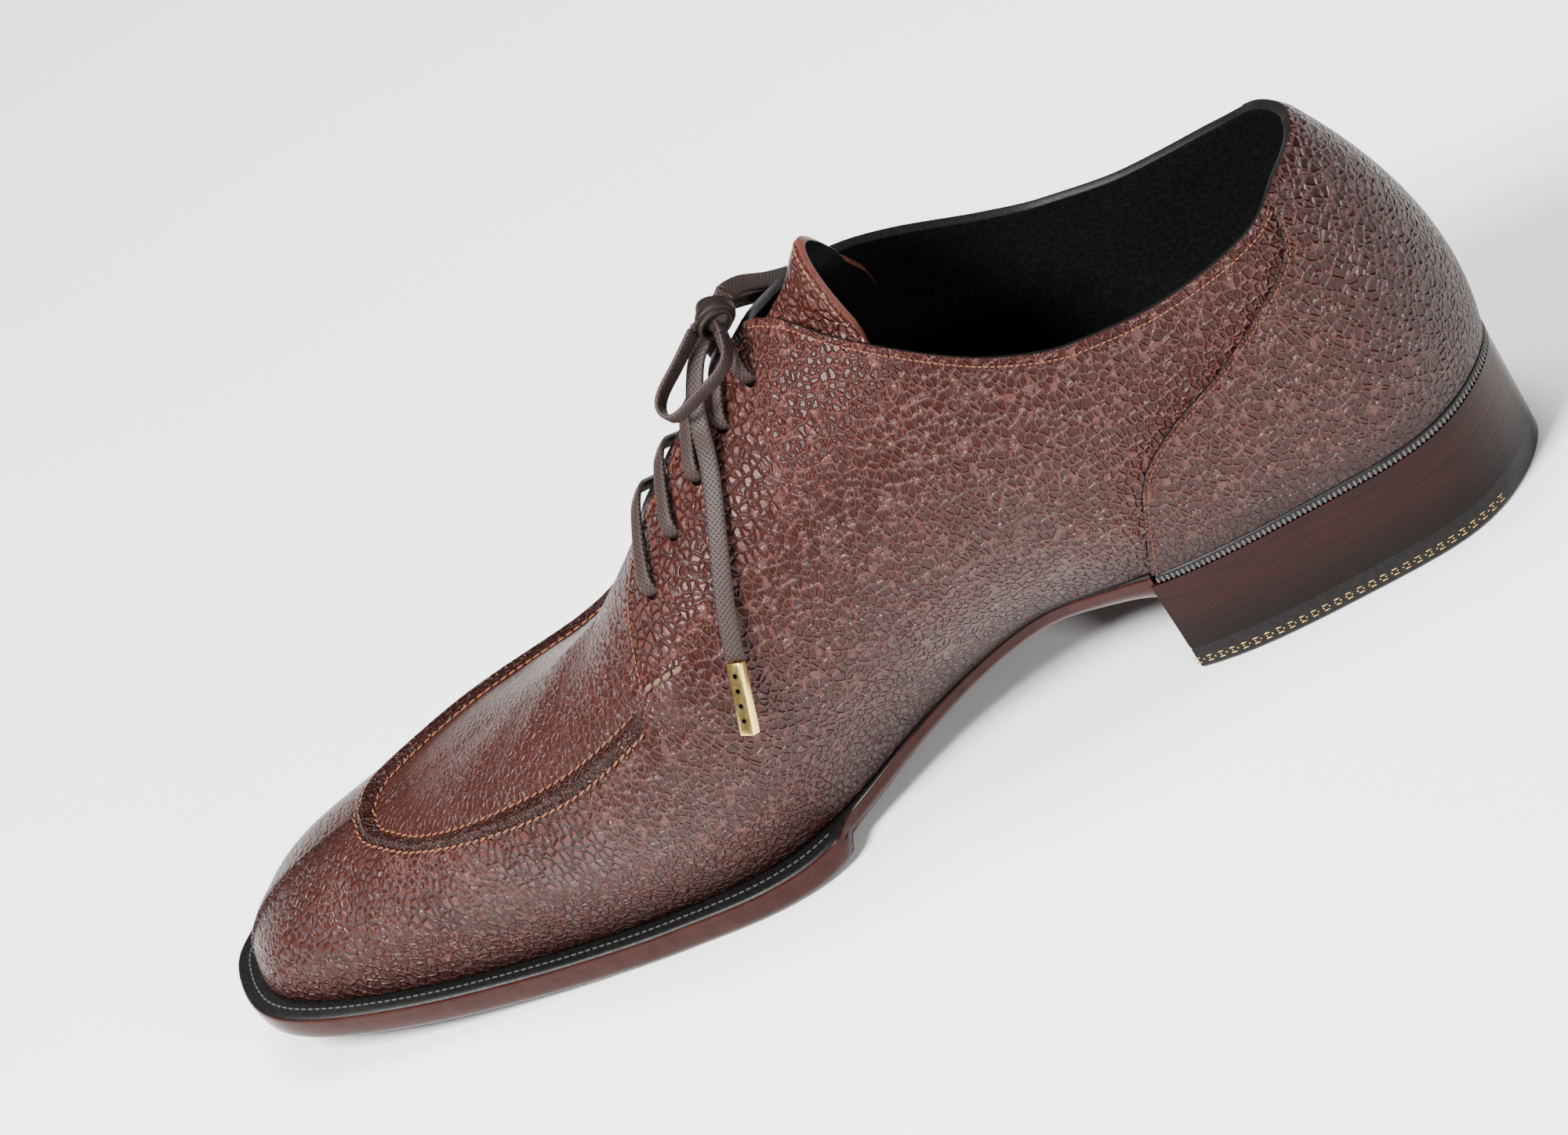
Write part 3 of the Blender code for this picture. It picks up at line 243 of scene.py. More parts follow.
# Eyelets from the top pair down: station and share, inner side then outer side
EYELETS = (
    (5.66, 0.868, 5.42, 0.832),
    (5.99, 0.850, 5.84, 0.822),
    (6.34, 0.826, 6.26, 0.808),
    (6.68, 0.794, 6.66, 0.790),
    (7.00, 0.750, 7.02, 0.768),
)
# Rim of the sole: station, margin inner and outer, cut inner and outer, in shares of MARGIN and BEVEL
MARGIN = 0.0050
BEVEL = 0.0050
RIMS = (
    (0.0, 0.16, 0.16, 0.04, 0.04),
    (3.8, 0.16, 0.16, 0.06, 0.06),
    (4.3, 0.02, 0.02, 0.60, 0.40),
    (5.0, -0.06, 0.04, 1.00, 0.60),
    (5.8, 0.00, 0.30, 1.00, 0.60),
    (6.4, 0.12, 0.76, 0.90, 0.30),
    (6.74, 0.34, 0.93, 0.70, 0.18),
    (6.84, 1.02, 0.96, 0.16, 0.16),
    (7.1, 1.16, 0.98, 0.12, 0.12),
    (8.0, 0.96, 0.92, 0.12, 0.12),
    (9.5, 0.92, 0.94, 0.12, 0.12),
    (11.0, 1.00, 1.02, 0.12, 0.12),
    (13.0, 1.10, 1.10, 0.12, 0.12),
)
# Soft creases: start and end as section number and share, and depth
CREASES = (
    (8.25, 0.50, 8.00, 0.22, 0.00050),
    (8.85, 0.47, 8.70, 0.20, 0.00040),
    (7.62, 0.44, 7.25, 0.22, 0.00035),
    (8.10, 1.00, 8.30, 0.66, 0.00045),
    (8.75, 0.96, 8.90, 0.68, 0.00035),
)
CREASE_WIDTH = 0.0045
# Middle of the swellings over the ends of the apron seam: section number, and share inner and outer
SWELLING_STATION = 7.10
SWELLING_SHARES = (0.528, 0.560)
SWELLING_HEIGHT = 0.0016
SWELLING_WIDTH = 0.0038
# One section number and one whole share as rough lengths, for the creases and swellings
STATION_STEP = 0.0233
GIRTH = 0.085
# Routes of the bow's free lace, from the knot outwards
LACE_ROUTES = {
    "lace_loop_inner": (
        (0.0958, 0.0063, 0.1146),
        (0.0990, 0.0072, 0.1125),
        (0.1030, 0.0098, 0.1104),
        (0.1069, 0.0128, 0.1086),
        (0.1085, 0.0152, 0.1066),
        (0.1068, 0.0176, 0.1053),
        (0.1030, 0.0176, 0.1060),
        (0.0990, 0.0167, 0.1072),
        (0.0945, 0.0159, 0.1086),
        (0.0912, 0.0138, 0.1105),
        (0.0905, 0.0097, 0.1129),
    ),
    "lace_loop_outer": (
        (0.0884, 0.0000, 0.1152),
        (0.0858, -0.0043, 0.1128),
        (0.0823, -0.0097, 0.1074),
        (0.0762, -0.0206, 0.0982),
        (0.0661, -0.0318, 0.0846),
        (0.0614, -0.0359, 0.0763),
        (0.0616, -0.0376, 0.0723),
        (0.0658, -0.0366, 0.0751),
        (0.0740, -0.0294, 0.0869),
        (0.0802, -0.0199, 0.0969),
        (0.0857, -0.0116, 0.1053),
        (0.0884, -0.0049, 0.1108),
        (0.0897, -0.0012, 0.1129),
    ),
    "lace_end_inner": (
        (0.0957, 0.0045, 0.1104),
        (0.0985, 0.0066, 0.1089),
        (0.1008, 0.0092, 0.1062),
        (0.1026, 0.0118, 0.1032),
        (0.1038, 0.0155, 0.0996),
        (0.1049, 0.0177, 0.0955),
        (0.1065, 0.0213, 0.0907),
        (0.1083, 0.0249, 0.0866),
        (0.1113, 0.0298, 0.0800),
        (0.1145, 0.0342, 0.0729),
        (0.1167, 0.0375, 0.0670),
        (0.1184, 0.0401, 0.0619),
    ),
    "lace_end_outer": (
        (0.0946, 0.0010, 0.1106),
        (0.0962, -0.0030, 0.1080),
        (0.0980, -0.0062, 0.1040),
        (0.0995, -0.0100, 0.0985),
        (0.1004, -0.0138, 0.0925),
        (0.1015, -0.0192, 0.0855),
        (0.1032, -0.0250, 0.0787),
        (0.1050, -0.0311, 0.0721),
        (0.1068, -0.0366, 0.0657),
        (0.1086, -0.0410, 0.0596),
        (0.1104, -0.0443, 0.0545),
    ),
}
KNOT_MIDDLE = np.array([0.0915, 0.0035, 0.1138])
# A point inside the instep that the flat side of the free ends looks away from
INSTEP_CORE = np.array([0.095, -0.002, 0.060])


def smooth(at: Array, places: Sequence[float], values: Sequence[float]) -> Array:
    """Monotone cubic curve through a table.

    Args:
        at: Places to read.
        places: Places of the table, rising.
        values: Values of the table.

    Returns:
        The value at each place.
    """
    places = np.asarray(places, float)
    values = np.asarray(values, float)
    step = np.diff(places)
    rate = np.diff(values) / step
    slope = np.zeros(len(places))
    slope[0] = rate[0]
    slope[-1] = rate[-1]
    for k in range(1, len(places) - 1):
        if rate[k - 1] * rate[k] > 0:
            before = 2 * step[k] + step[k - 1]
            after = step[k] + 2 * step[k - 1]
            slope[k] = (before + after) / (before / rate[k - 1] + after / rate[k])
    at = np.clip(at, places[0], places[-1])
    k = np.clip(np.searchsorted(places, at) - 1, 0, len(step) - 1)
    u = (at - places[k]) / step[k]
    start = (2 * u**3 - 3 * u**2 + 1) * values[k] + (u**3 - 2 * u**2 + u) * step[k] * slope[k]
    end = (3 * u**2 - 2 * u**3) * values[k + 1] + (u**3 - u**2) * step[k] * slope[k + 1]
    return start + end


def ramp(at: Array, low: float, high: float) -> Array:
    """Smooth step from 0 at low to 1 at high."""
    u = np.clip((np.asarray(at, float) - low) / (high - low), 0, 1)
    return u * u * (3 - 2 * u)


def between(first: Array | float, second: Array | float, part: Array | float) -> Array:
    """Blend from the first value at part 0 to the second at part 1."""
    return first * (1 - part) + second * part


def unit(vectors: Array) -> Array:
    """Vectors brought to a length of one."""
    return vectors / np.linalg.norm(vectors, axis=-1, keepdims=True)


def distances(line: Array) -> Array:
    """Distance along a polyline to each of its points."""
    return np.concatenate([[0], np.cumsum(np.linalg.norm(np.diff(line, axis=0), axis=1))])


def round_toe(stations: Array) -> Array:
    """Places round the ring, from section numbers on the inner side and back on the outer."""
    return np.concatenate([stations, RING - stations[-2::-1]])


def raised(plan: Array, height: Array) -> Array:
    """Points from their plan and height."""
    return np.concatenate([plan, height[..., None]], -1)


def eyelets(pair: Sequence[float]) -> tuple[tuple[Hand, float, float], tuple[Hand, float, float]]:
    """The two eyelets of a pair, each with its side, section number and share."""
    return (Hand.INNER, pair[0], pair[1]), (Hand.OUTER, pair[2], pair[3])


class Last:
    """The shoe's last: every panel, seam and edge is read from its surface."""

    def __init__(self) -> None:
        """Prepare the closed spline round the sections."""
        rows = []
        for index in range(RING):
            section = SECTIONS[index] if index <= LAST_STATION else SECTIONS[RING - index]
            half = section.inner if index <= LAST_STATION else section.outer
            sign = 1 if index <= LAST_STATION else -1
            rows.append([section.crest, half.along, sign * half.out, half.lean, half.rise, half.tilt, half.reach])
        self.rows = np.array(rows)
        matrix = np.zeros((RING, RING))
        for index in range(RING):
            matrix[index, index] = 4
            matrix[index, (index + 1) % RING] = 1
            matrix[index, (index - 1) % RING] = 1
        pull = 6 * (np.roll(self.rows, -1, 0) - 2 * self.rows + np.roll(self.rows, 1, 0))
        self.bends = np.linalg.solve(matrix, pull)

    @staticmethod
    def turn(hand: Hand, station: Array) -> Array:
        """Place round the ring of a section number on one side."""
        return np.asarray(station, float) if hand is Hand.INNER else RING - np.asarray(station, float)

    @staticmethod
    def station(turn: Array) -> tuple[Array, Array]:
        """Section number, and whether the place is on the inner side."""
        turn = np.asarray(turn, float) % RING
        is_inner = turn <= LAST_STATION
        return np.where(is_inner, turn, RING - turn), is_inner

    def edge(self, rows: Sequence[Edge], turn: Array) -> Array:
        """Read an edge's share at places round the ring."""
        station, is_inner = self.station(turn)
        places = [row.station for row in rows]
        inner = smooth(station, places, [row.inner for row in rows])
        outer = smooth(station, places, [row.outer for row in rows])
        return np.where(is_inner, inner, outer)

    @staticmethod
    def underside(along: Array) -> Array:
        """Height of the sole's underside at a share of LENGTH."""
        places, lift, spring = zip(*UNDERSIDE)
        return HEEL_LIFT * smooth(along, places, lift) + TOE_SPRING * smooth(along, places, spring)

    def sole_top(self, along: Array) -> Array:
        """Height of the outsole's upper face at a share of LENGTH."""
        waist = np.clip(1 - np.abs(along - 0.41) / 0.14, 0, 1)
        return self.underside(along) + SOLE_THICKNESS - WAIST_THINNING * waist

    def point(self, turn: Array, share: Array, offset: Array | float = 0.0) -> Array:
        """Point on the last.

        Args:
            turn: Place round the ring.
            share: Share of the way from the feather to the crest.
            offset: Distance outside the surface, in metres.

        Returns:
            The points, in the shoe's frame.
        """
        turn, share = np.broadcast_arrays(np.asarray(turn, float), np.asarray(share, float))
        turn = turn % RING
        low = np.floor(turn).astype(int) % RING
        high = (low + 1) % RING
        u = (turn - np.floor(turn))[..., None]
        bend = ((1 - u) ** 3 - (1 - u)) * self.bends[low] + (u**3 - u) * self.bends[high]
        values = self.rows[low] * (1 - u) + self.rows[high] * u + bend / 6
        crest, along, out, lean, rise, tilt, reach = np.moveaxis(values, -1, 0)
        lean = np.radians(lean)
        tilt = np.radians(tilt)
        feather = self.sole_top(along) + WELT_THICKNESS + 2 * GAP
        foot = np.stack([along * LENGTH, out * BALL_WIDTH, feather], -1)
        places, heights, shifts = zip(*CREST)
        top = np.stack([crest * LENGTH, smooth(crest, places, shifts) * BALL_WIDTH,
                        self.underside(crest) + smooth(crest, places, heights) * INSTEP_HEIGHT], -1)
        outward = unit(foot[..., :2] - top[..., :2])
        rise = rise * INSTEP_HEIGHT
        reach = reach * BALL_WIDTH
        lean_arm = np.concatenate([outward * (rise * np.sin(lean))[..., None], (rise * np.cos(lean))[..., None]], -1)
        tilt_arm = np.concatenate([outward * (reach * np.cos(tilt))[..., None], (-reach * np.sin(tilt))[..., None]],
                                  -1)
        v = share[..., None]
        place = (1 - v) ** 3 * foot + 3 * (1 - v) ** 2 * v * (foot + lean_arm)
        place = place + 3 * (1 - v) * v**2 * (top + tilt_arm) + v**3 * top
        place = place - np.array([ORIGIN_ALONG, 0.0, 0.0])
        if np.any(np.asarray(offset) != 0):
            lift = np.broadcast_to(np.asarray(offset, float), share.shape)
            place = place + self.normal(turn, share) * lift[..., None]
        return place

    def normal(self, turn: Array, share: Array) -> Array:
        """Outward normal of the last, shared by both sides along the crest."""
        turn, share = np.broadcast_arrays(np.asarray(turn, float), np.asarray(share, float))

        def one_side(place: Array) -> Array:
            """Normal from one side's own slopes."""
            level = np.clip(share, 0.004, 0.985)
            round_step = self.point(place + 0.01, level) - self.point(place - 0.01, level)
            up_step = self.point(place, level + 0.004) - self.point(place, level - 0.004)
            return unit(np.cross(up_step, round_step))

        normal = one_side(turn)
        near_crest = ramp(share, 0.97, 1.0)[..., None] * 0.5
        if np.any(near_crest > 0):
            normal = normal * (1 - near_crest) + one_side(RING - turn) * near_crest
        return unit(normal)

    def belt(self, turn: Array) -> Array:
        """Upper edge of the vamp wall, carried back under the collar as a belt."""
        station, is_inner = self.station(turn)
        at_throat = np.where(is_inner, APRON_OUTER_ROW[0].inner, APRON_OUTER_ROW[0].outer)
        blend = smooth(station, [0, 3, THROAT], [0, 0.2, 1])
        back = at_throat * blend + 0.55 * self.edge(COLLAR, turn) * (1 - blend)
        return np.where(station >= THROAT, self.edge(APRON_OUTER_ROW, turn), back)

    @staticmethod
    def throat(share: Array) -> Array:
        """Section number of the facing's front edge."""
        past = np.clip((share - THROAT_ROUNDING_START) / (1 - THROAT_ROUNDING_START), 0, None)
        return THROAT - THROAT_ROUNDING * past**2

    def bent_turn(self, hand: Hand, station: Array, share: Array) -> Array:
        """Ring place whose columns bend to follow the facing's front edge."""
        station = np.asarray(station, float)
        before = WARP_START + (station - WARP_START) * (self.throat(share) - WARP_START) / (THROAT - WARP_START)
        return self.turn(hand, np.where(station > WARP_START, before, station))

    def counter_front(self, hand: Hand, part: Array) -> Array:
        """Foremost section number of the counter at a share of its height."""
        column = [row.inner if hand is Hand.INNER else row.outer for row in COUNTER_SEAM]
        return smooth(part, [row.station for row in COUNTER_SEAM], column)

    def rim(self, turn: Array, column: int, size: float) -> Array:
        """Margin or cut of the sole's rim at places round the ring."""
        station, is_inner = self.station(turn)
        table = np.array(RIMS)
        inner = smooth(station, table[:, 0], table[:, column])
        outer = smooth(station, table[:, 0], table[:, column + 1])
        return size * np.where(is_inner, inner, outer)

    def margin(self, turn: Array) -> Array:
        """How far the sole's upper edge stands out from the feather."""
        return self.rim(turn, 1, MARGIN)

    def cut(self, turn: Array) -> Array:
        """How far the sole's lower edge lies inside its upper edge."""
        return self.rim(turn, 3, BEVEL)

    def outline(self, turn: Array, margin: Array) -> tuple[Array, Array]:
        """Feather line moved outwards in plan, with its share of LENGTH."""
        path = (self.point(turn + 0.01, 0.0) - self.point(turn - 0.01, 0.0))[..., :2]
        normal = unit(np.stack([-path[..., 1], path[..., 0]], -1))
        plan = self.point(turn, 0.0)[..., :2] + normal * np.asarray(margin, float)[..., None]
        return plan, (plan[..., 0] + ORIGIN_ALONG) / LENGTH


LAST = Last()


class Shade:
    """Small helper that wires a material's nodes."""

    def __init__(self, name: str) -> None:
        """Start a material with its Principled shader."""
        self.material = bpy.data.materials.new(name)
        self.material.use_nodes = True
        self.tree = self.material.node_tree
        self.shader = self.tree.nodes["Principled BSDF"]
        self.place = self.tree.nodes.new("ShaderNodeTexCoord")

    def node(self, kind: str, **values: object) -> Node:
        """Add a node and set its fields and, by name with spaces as underscores, its inputs."""
        made = self.tree.nodes.new(kind)
        for key, value in values.items():
            if hasattr(made, key):
                setattr(made, key, value)
            else:
                made.inputs[key.replace("_", " ")].default_value = value
        return made

    def link(self, start: Socket, end: Socket) -> None:
        """Join two sockets."""
        self.tree.links.new(start, end)

    def mix(self, factor: Socket, first: object, second: object) -> Socket:
        """Mix two colours, each a tuple or a socket."""
        made = self.tree.nodes.new("ShaderNodeMix")
        made.data_type = "RGBA"
        self.link(factor, made.inputs[0])
        for value, socket in ((first, made.inputs[6]), (second, made.inputs[7])):
            if isinstance(value, tuple):
                socket.default_value = (*value, 1.0)
            else:
                self.link(value, socket)
        return made.outputs[2]

    def curve(self, value: Socket, low: float, high: float, start: float = 0.0, end: float = 1.0) -> Socket:
        """Map a value smoothly from one range to another."""
        made = self.node("ShaderNodeMapRange", interpolation_type="SMOOTHSTEP")
        self.link(value, made.inputs["Value"])
        made.inputs["From Min"].default_value = low
        made.inputs["From Max"].default_value = high
        made.inputs["To Min"].default_value = start
        made.inputs["To Max"].default_value = end
        return made.outputs["Result"]

    def math(self, operation: str, first: object, second: object = 0.0) -> Socket:
        """Do sums with values or sockets."""
        made = self.node("ShaderNodeMath", operation=operation)
        for value, socket in ((first, made.inputs[0]), (second, made.inputs[1])):
            if isinstance(value, (int, float)):
                socket.default_value = value
            else:
                self.link(value, socket)
        return made.outputs[0]

    def attribute(self, name: str) -> Socket:
        """Read a value that the mesh carries at its points."""
        return self.node("ShaderNodeAttribute", attribute_name=name).outputs["Fac"]

    def bump(self, height: Socket, strength: float, distance: float) -> Socket:
        """Turn a height into a surface normal."""
        made = self.node("ShaderNodeBump", Strength=strength, Distance=distance)
        self.link(height, made.inputs["Height"])
        return made.outputs["Normal"]

    def times(self, first: object, second: object) -> Socket:
        """Product of values or sockets."""
        return self.math("MULTIPLY", first, second)

    def plus(self, first: object, second: object) -> Socket:
        """Sum of values or sockets."""
        return self.math("ADD", first, second)

    def minus(self, first: object, second: object) -> Socket:
        """Difference of values or sockets."""
        return self.math("SUBTRACT", first, second)

    def split(self, chart: str) -> Node:
        """The three parts of a place in Object or UV coordinates."""
        made = self.node("ShaderNodeSeparateXYZ")
        self.link(self.place.outputs[chart], made.inputs[0])
        return made

    def stretched(self, scale: Triple) -> Socket:
        """Object coordinates, stretched."""
        made = self.node("ShaderNodeMapping", Scale=scale)
        self.link(self.place.outputs["Object"], made.inputs["Vector"])
        return made.outputs[0]

    def noise(self, scale: float, detail: float, place: Socket | None = None, output: str = "Fac") -> Socket:
        """Noise at a place, or else in Object coordinates."""
        made = self.node("ShaderNodeTexNoise", Scale=scale, Detail=detail)
        self.link(self.place.outputs["Object"] if place is None else place, made.inputs["Vector"])
        return made.outputs[output]

    def cells(self, scale: float, randomness: float, place: Socket) -> Socket:
        """Distance to the borders of a net of cells."""
        made = self.node("ShaderNodeTexVoronoi", feature="DISTANCE_TO_EDGE", Scale=scale, Randomness=randomness)
        self.link(place, made.inputs["Vector"])
        return made.outputs["Distance"]

    def finish(self, colour: Socket, roughness: Socket | float, specular: float, normal: Socket) -> Material:
        """Wire the shader, with what is the same all over set on its own sockets."""
        self.link(colour, self.shader.inputs["Base Color"])
        self.link(normal, self.shader.inputs["Normal"])
        if isinstance(roughness, float):
            self.shader.inputs["Roughness"].default_value = roughness
        else:
            self.link(roughness, self.shader.inputs["Roughness"])
        self.shader.inputs["Specular IOR Level"].default_value = specular
        return self.material


@dataclass(frozen=True)
class GrainLeather:
    """Grained calf, burnished at the toe, darker near the sole and darkened round the heel as painted shade: plump
    pebbles in places, and a net of wrinkles round hollows elsewhere, with painted shade in the hollows and painted
    highlight on the ridges.
    """

    name: str = "pebbled_leather"
    # Grain colours in the hollows and on the ridges: the leather's red-brown darkened as painted shade and lightened as
    # painted highlight
    hollow: Triple = (0.0210, 0.0030, 0.0014)
    ridge: Triple = (0.0640, 0.0205, 0.0165)
    # Darkest tone, for the random mottling and for the burnish and painted shade
    dark: Triple = (0.0070, 0.0010, 0.0005)
    smooth: Triple = (0.0380, 0.0115, 0.0092)
    stretch: Triple = (1.12, 1.0, 0.86)
    sways: tuple[tuple[float, float], ...] = ((260.0, 0.0013), (1300.0, 0.00034))
    cell: float = 0.0021
    relief: float = 0.00070
    roughness: float = 0.34
    specular: float = 0.24

    def material(self) -> Material:
        """Build the material."""
        s = Shade(self.name)
        place = s.stretched(self.stretch)
        for scale, reach in self.sways:
            shifted = s.node("ShaderNodeVectorMath", operation="MULTIPLY_ADD")
            s.link(s.noise(scale, 1.0, place, "Color"), shifted.inputs[0])
            shifted.inputs[1].default_value = (reach, reach, reach)
            s.link(place, shifted.inputs[2])
            place = shifted.outputs[0]
        dome = s.curve(s.cells(1.0 / self.cell, 0.85, place), 0.0, 0.26)
        net = s.curve(s.cells(1.20 / self.cell, 0.95, place), -0.02, 0.25, 1.0, 0.0)
        broad = s.noise(60.0, 2.0)
        calm = s.attribute("calm")
        burnish = s.attribute("burnish")
        pebble = s.curve(s.plus(s.attribute("pebble"), s.curve(broad, 0.42, 0.70, 0.0, 0.45)), 0.25, 0.75)
        height = s.plus(s.times(dome, pebble), s.times(net, s.minus(1.0, pebble)))
        height = s.times(height, s.minus(1.0, s.times(calm, 0.72)))
        height = s.plus(height, s.times(s.noise(2600.0, 2.0), 0.10))
        # Colour runs from the hollow colour to the ridge colour with the grain's height: painted shade in the hollows
        # and painted highlight on the raised grain
        lit = s.curve(height, 0.10, 1.0)
        colour = s.mix(s.times(calm, 0.85), s.mix(lit, self.hollow, self.ridge), self.smooth)
        colour = s.mix(s.curve(broad, 0.35, 0.75, 0.0, 0.22), colour, self.dark)
        # Darkening towards the dark colour: burnish at the toe, darker near the sole, and painted shade round the heel
        colour = s.mix(s.times(burnish, 0.80), colour, self.dark)
        rough = s.plus(s.times(burnish, 0.08), s.plus(s.times(lit, -0.06), self.roughness))
        return s.finish(colour, rough, self.specular, s.bump(height, 1.0, self.relief))


@dataclass(frozen=True)
class PlainFinish:
    """Finish of one colour with a fine uneven surface."""

    name: str
    colour: Triple
    roughness: float = 0.4
    metallic: float = 0.0
    speckle: float = 900.0
    relief: float = 0.00004
    variation: float = 0.25
    specular: float = 0.15

    def material(self) -> Material:
        """Build the material."""
        s = Shade(self.name)
        noise = s.noise(self.speckle, 4.0)
        worn = tuple(min(1.0, value * (1 + self.variation) + 0.002) for value in self.colour)
        colour = s.mix(s.curve(noise, 0.35, 0.7), self.colour, worn)
        rough = s.curve(noise, 0.3, 0.7, self.roughness * 0.85, min(1.0, self.roughness * 1.15))
        s.shader.inputs["Metallic"].default_value = self.metallic
        return s.finish(colour, rough, self.specular, s.bump(noise, 0.6, self.relief))


@dataclass(frozen=True)
class StackedLeather:
    """Polished heel of leather lifts, mahogany that fades to black towards the floor."""

    name: str = "polished_stack"
    brown: Triple = (0.0160, 0.0016, 0.0004)
    black: Triple = (0.0014, 0.0006, 0.0004)
    lift: float = 0.0048

    def material(self) -> Material:
        """Build the material."""
        s = Shade(self.name)
        height = s.split("Object").outputs["Z"]
        streak = s.noise(1.0, 3.0, s.stretched((70.0, 70.0, 900.0)))
        lines = s.math("ABSOLUTE", s.minus(s.math("FRACT", s.math("DIVIDE", height, self.lift)), 0.5))
        seam = s.curve(lines, 0.44, 0.50)
        colour = s.mix(s.curve(streak, 0.3, 0.75, 0.0, 0.6), self.brown, self.black)
        colour = s.mix(s.curve(height, 0.006, 0.019, 0.85, 0.05), colour, self.black)
        colour = s.mix(s.times(seam, 0.7), colour, self.black)
        return s.finish(colour, 0.22, 0.12, s.bump(s.minus(1.0, seam), 0.4, 0.00008))


@dataclass(frozen=True)
class BraidedLace:
    """Waxed flat braid, whose strands cross in a herringbone along the lace's own map."""

    name: str = "waxed_braid"
    # Base colour of the braid, and a lighter colour for the strands' crests as painted highlight
    colour: Triple = (0.0100, 0.0058, 0.0048)
    light: Triple = (0.030, 0.0190, 0.0170)
    strand: float = 0.00115

    def material(self) -> Material:
        """Build the material."""
        s = Shade(self.name)
        split = s.split("UV")
        across = s.math("ABSOLUTE", split.outputs["Y"])
        strands = []
        for lean in ("ADD", "SUBTRACT"):
            wave = s.times(s.math("DIVIDE", s.math(lean, split.outputs["X"], across), self.strand), math.pi)
            strands.append(s.times(s.math("ABSOLUTE", s.math("SINE", wave)), 0.9))
        height = s.plus(s.math("MAXIMUM", *strands), s.times(s.noise(1400.0, 2.0), 0.35))
        # Lighter on the strands' crests and darker between them: painted highlight and painted shade
        colour = s.mix(s.curve(height, 0.55, 1.15), self.colour, self.light)
        return s.finish(colour, 0.50, 0.18, s.bump(height, 0.8, 0.00012))


LEATHER = GrainLeather().material()
# Darker leather for the raised seams, with the same painted shade in the hollows and painted highlight on the ridges
SEAM_LEATHER = GrainLeather("seam_leather", (0.0090, 0.0014, 0.0007), (0.0340, 0.0092, 0.0068),
                            (0.0040, 0.0006, 0.0003), (0.0200, 0.0056, 0.0042), cell=0.0013,
                            relief=0.00045).material()
# Lighter brown for the tongue's edges: painted light on the far edge, which lies in the shoe's shade
LIT_TONGUE_EDGE = PlainFinish("tongue_edge", (0.110, 0.034, 0.024), roughness=0.40, speckle=900).material()
LINING = PlainFinish("black_lining", (0.004, 0.004, 0.0045), roughness=0.50, speckle=1200).material()
EDGE_DYE = PlainFinish("black_edge", (0.004, 0.0038, 0.0038), roughness=0.40, speckle=2500).material()
SOCK = PlainFinish("black_sock", (0.004, 0.004, 0.004), roughness=0.5, speckle=700).material()
WELT_BLACK = PlainFinish("waxed_welt", (0.0035, 0.0033, 0.0032), roughness=0.42, speckle=1800).material()
SOLE_EDGE = PlainFinish("polished_edge", (0.0200, 0.0034, 0.0018), roughness=0.24, speckle=260,
                        relief=0.00002).material()
SOLE_FACE = PlainFinish("sole_face", (0.0120, 0.0024, 0.0013), roughness=0.28, speckle=120).material()
TOP_PIECE = PlainFinish("top_piece_black", (0.0035, 0.0026, 0.0022), roughness=0.24, speckle=700).material()
STACK = StackedLeather().material()
LACE = BraidedLace().material()
BRASS = PlainFinish("brass_tip", (0.86, 0.62, 0.22), roughness=0.22, metallic=1.0, relief=0.00001,
                    variation=0.05).material()
GILT = PlainFinish("gilt_wheel", (0.46, 0.30, 0.09), roughness=0.35, metallic=1.0).material()
TAN_THREAD = PlainFinish("tan_thread", (0.150, 0.056, 0.026), roughness=0.6, speckle=4000, relief=0.0001).material()
BROWN_THREAD = PlainFinish("brown_thread", (0.095, 0.036, 0.018), roughness=0.6, speckle=4000,
                           relief=0.0001).material()
PALE_THREAD = PlainFinish("pale_thread", (0.085, 0.055, 0.036), roughness=0.7, speckle=4000).material()
GREY_THREAD = PlainFinish("grey_thread", (0.040, 0.038, 0.036), roughness=0.5, speckle=4000).material()
NOTCH_GREY = PlainFinish("notch_grey", (0.062, 0.058, 0.056), roughness=0.35, speckle=2500).material()
HOLE_DARK = PlainFinish("hole_dark", (0.004, 0.003, 0.003), roughness=0.8).material()


def deselect() -> None:
    """Leave nothing selected."""
    for item in bpy.context.selected_objects:
        item.select_set(False)


def only(item: Item) -> None:
    """Select one object alone and make it active."""
    deselect()
    item.select_set(True)
    bpy.context.view_layer.objects.active = item


@contextmanager
def editing(item: Item) -> Iterator[None]:
    """Edit one object with all of its mesh selected."""
    only(item)
    bpy.ops.object.mode_set(mode="EDIT")
    bpy.ops.mesh.select_all(action="SELECT")
    yield
    bpy.ops.object.mode_set(mode="OBJECT")


def into_scene(item: Item) -> Item:
    """Put an object into the scene."""
    bpy.context.scene.collection.objects.link(item)
    return item


def from_lists(name: str, points: Array, faces: Sequence[Sequence[int]], *materials: Material) -> Item:
    """Object with a mesh of given points and faces."""
    mesh = bpy.data.meshes.new(name)
    mesh.from_pydata(points.reshape(-1, 3).tolist(), [], faces)
    for material in materials:
        mesh.materials.append(material)
    return into_scene(bpy.data.objects.new(name, mesh))


def apply_all(item: Item) -> None:
    """Apply an object's modifiers in order."""
    only(item)
    for modifier in list(item.modifiers):
        bpy.ops.object.modifier_apply(modifier=modifier.name)


def soften(item: Item, degrees: float = 35.0) -> None:
    """Shade smooth, with edges kept above an angle."""
    only(item)
    bpy.ops.object.shade_smooth_by_angle(angle=math.radians(degrees))


def seat(item: Item, slot: str, *replaced: str) -> Item:
    """Make a finished piece ride on the shoe and report it.

    Args:
        item: The finished piece.
        slot: The record's material slot; not used.
        replaced: The solids that the piece stands for.

    Returns:
        The same piece.
    """
    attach(item, "root")
    if replaced:
        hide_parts(*replaced)
    log.info("%s: %d faces", item.name, len(item.data.polygons) if item.type == "MESH" else 0)
    return item


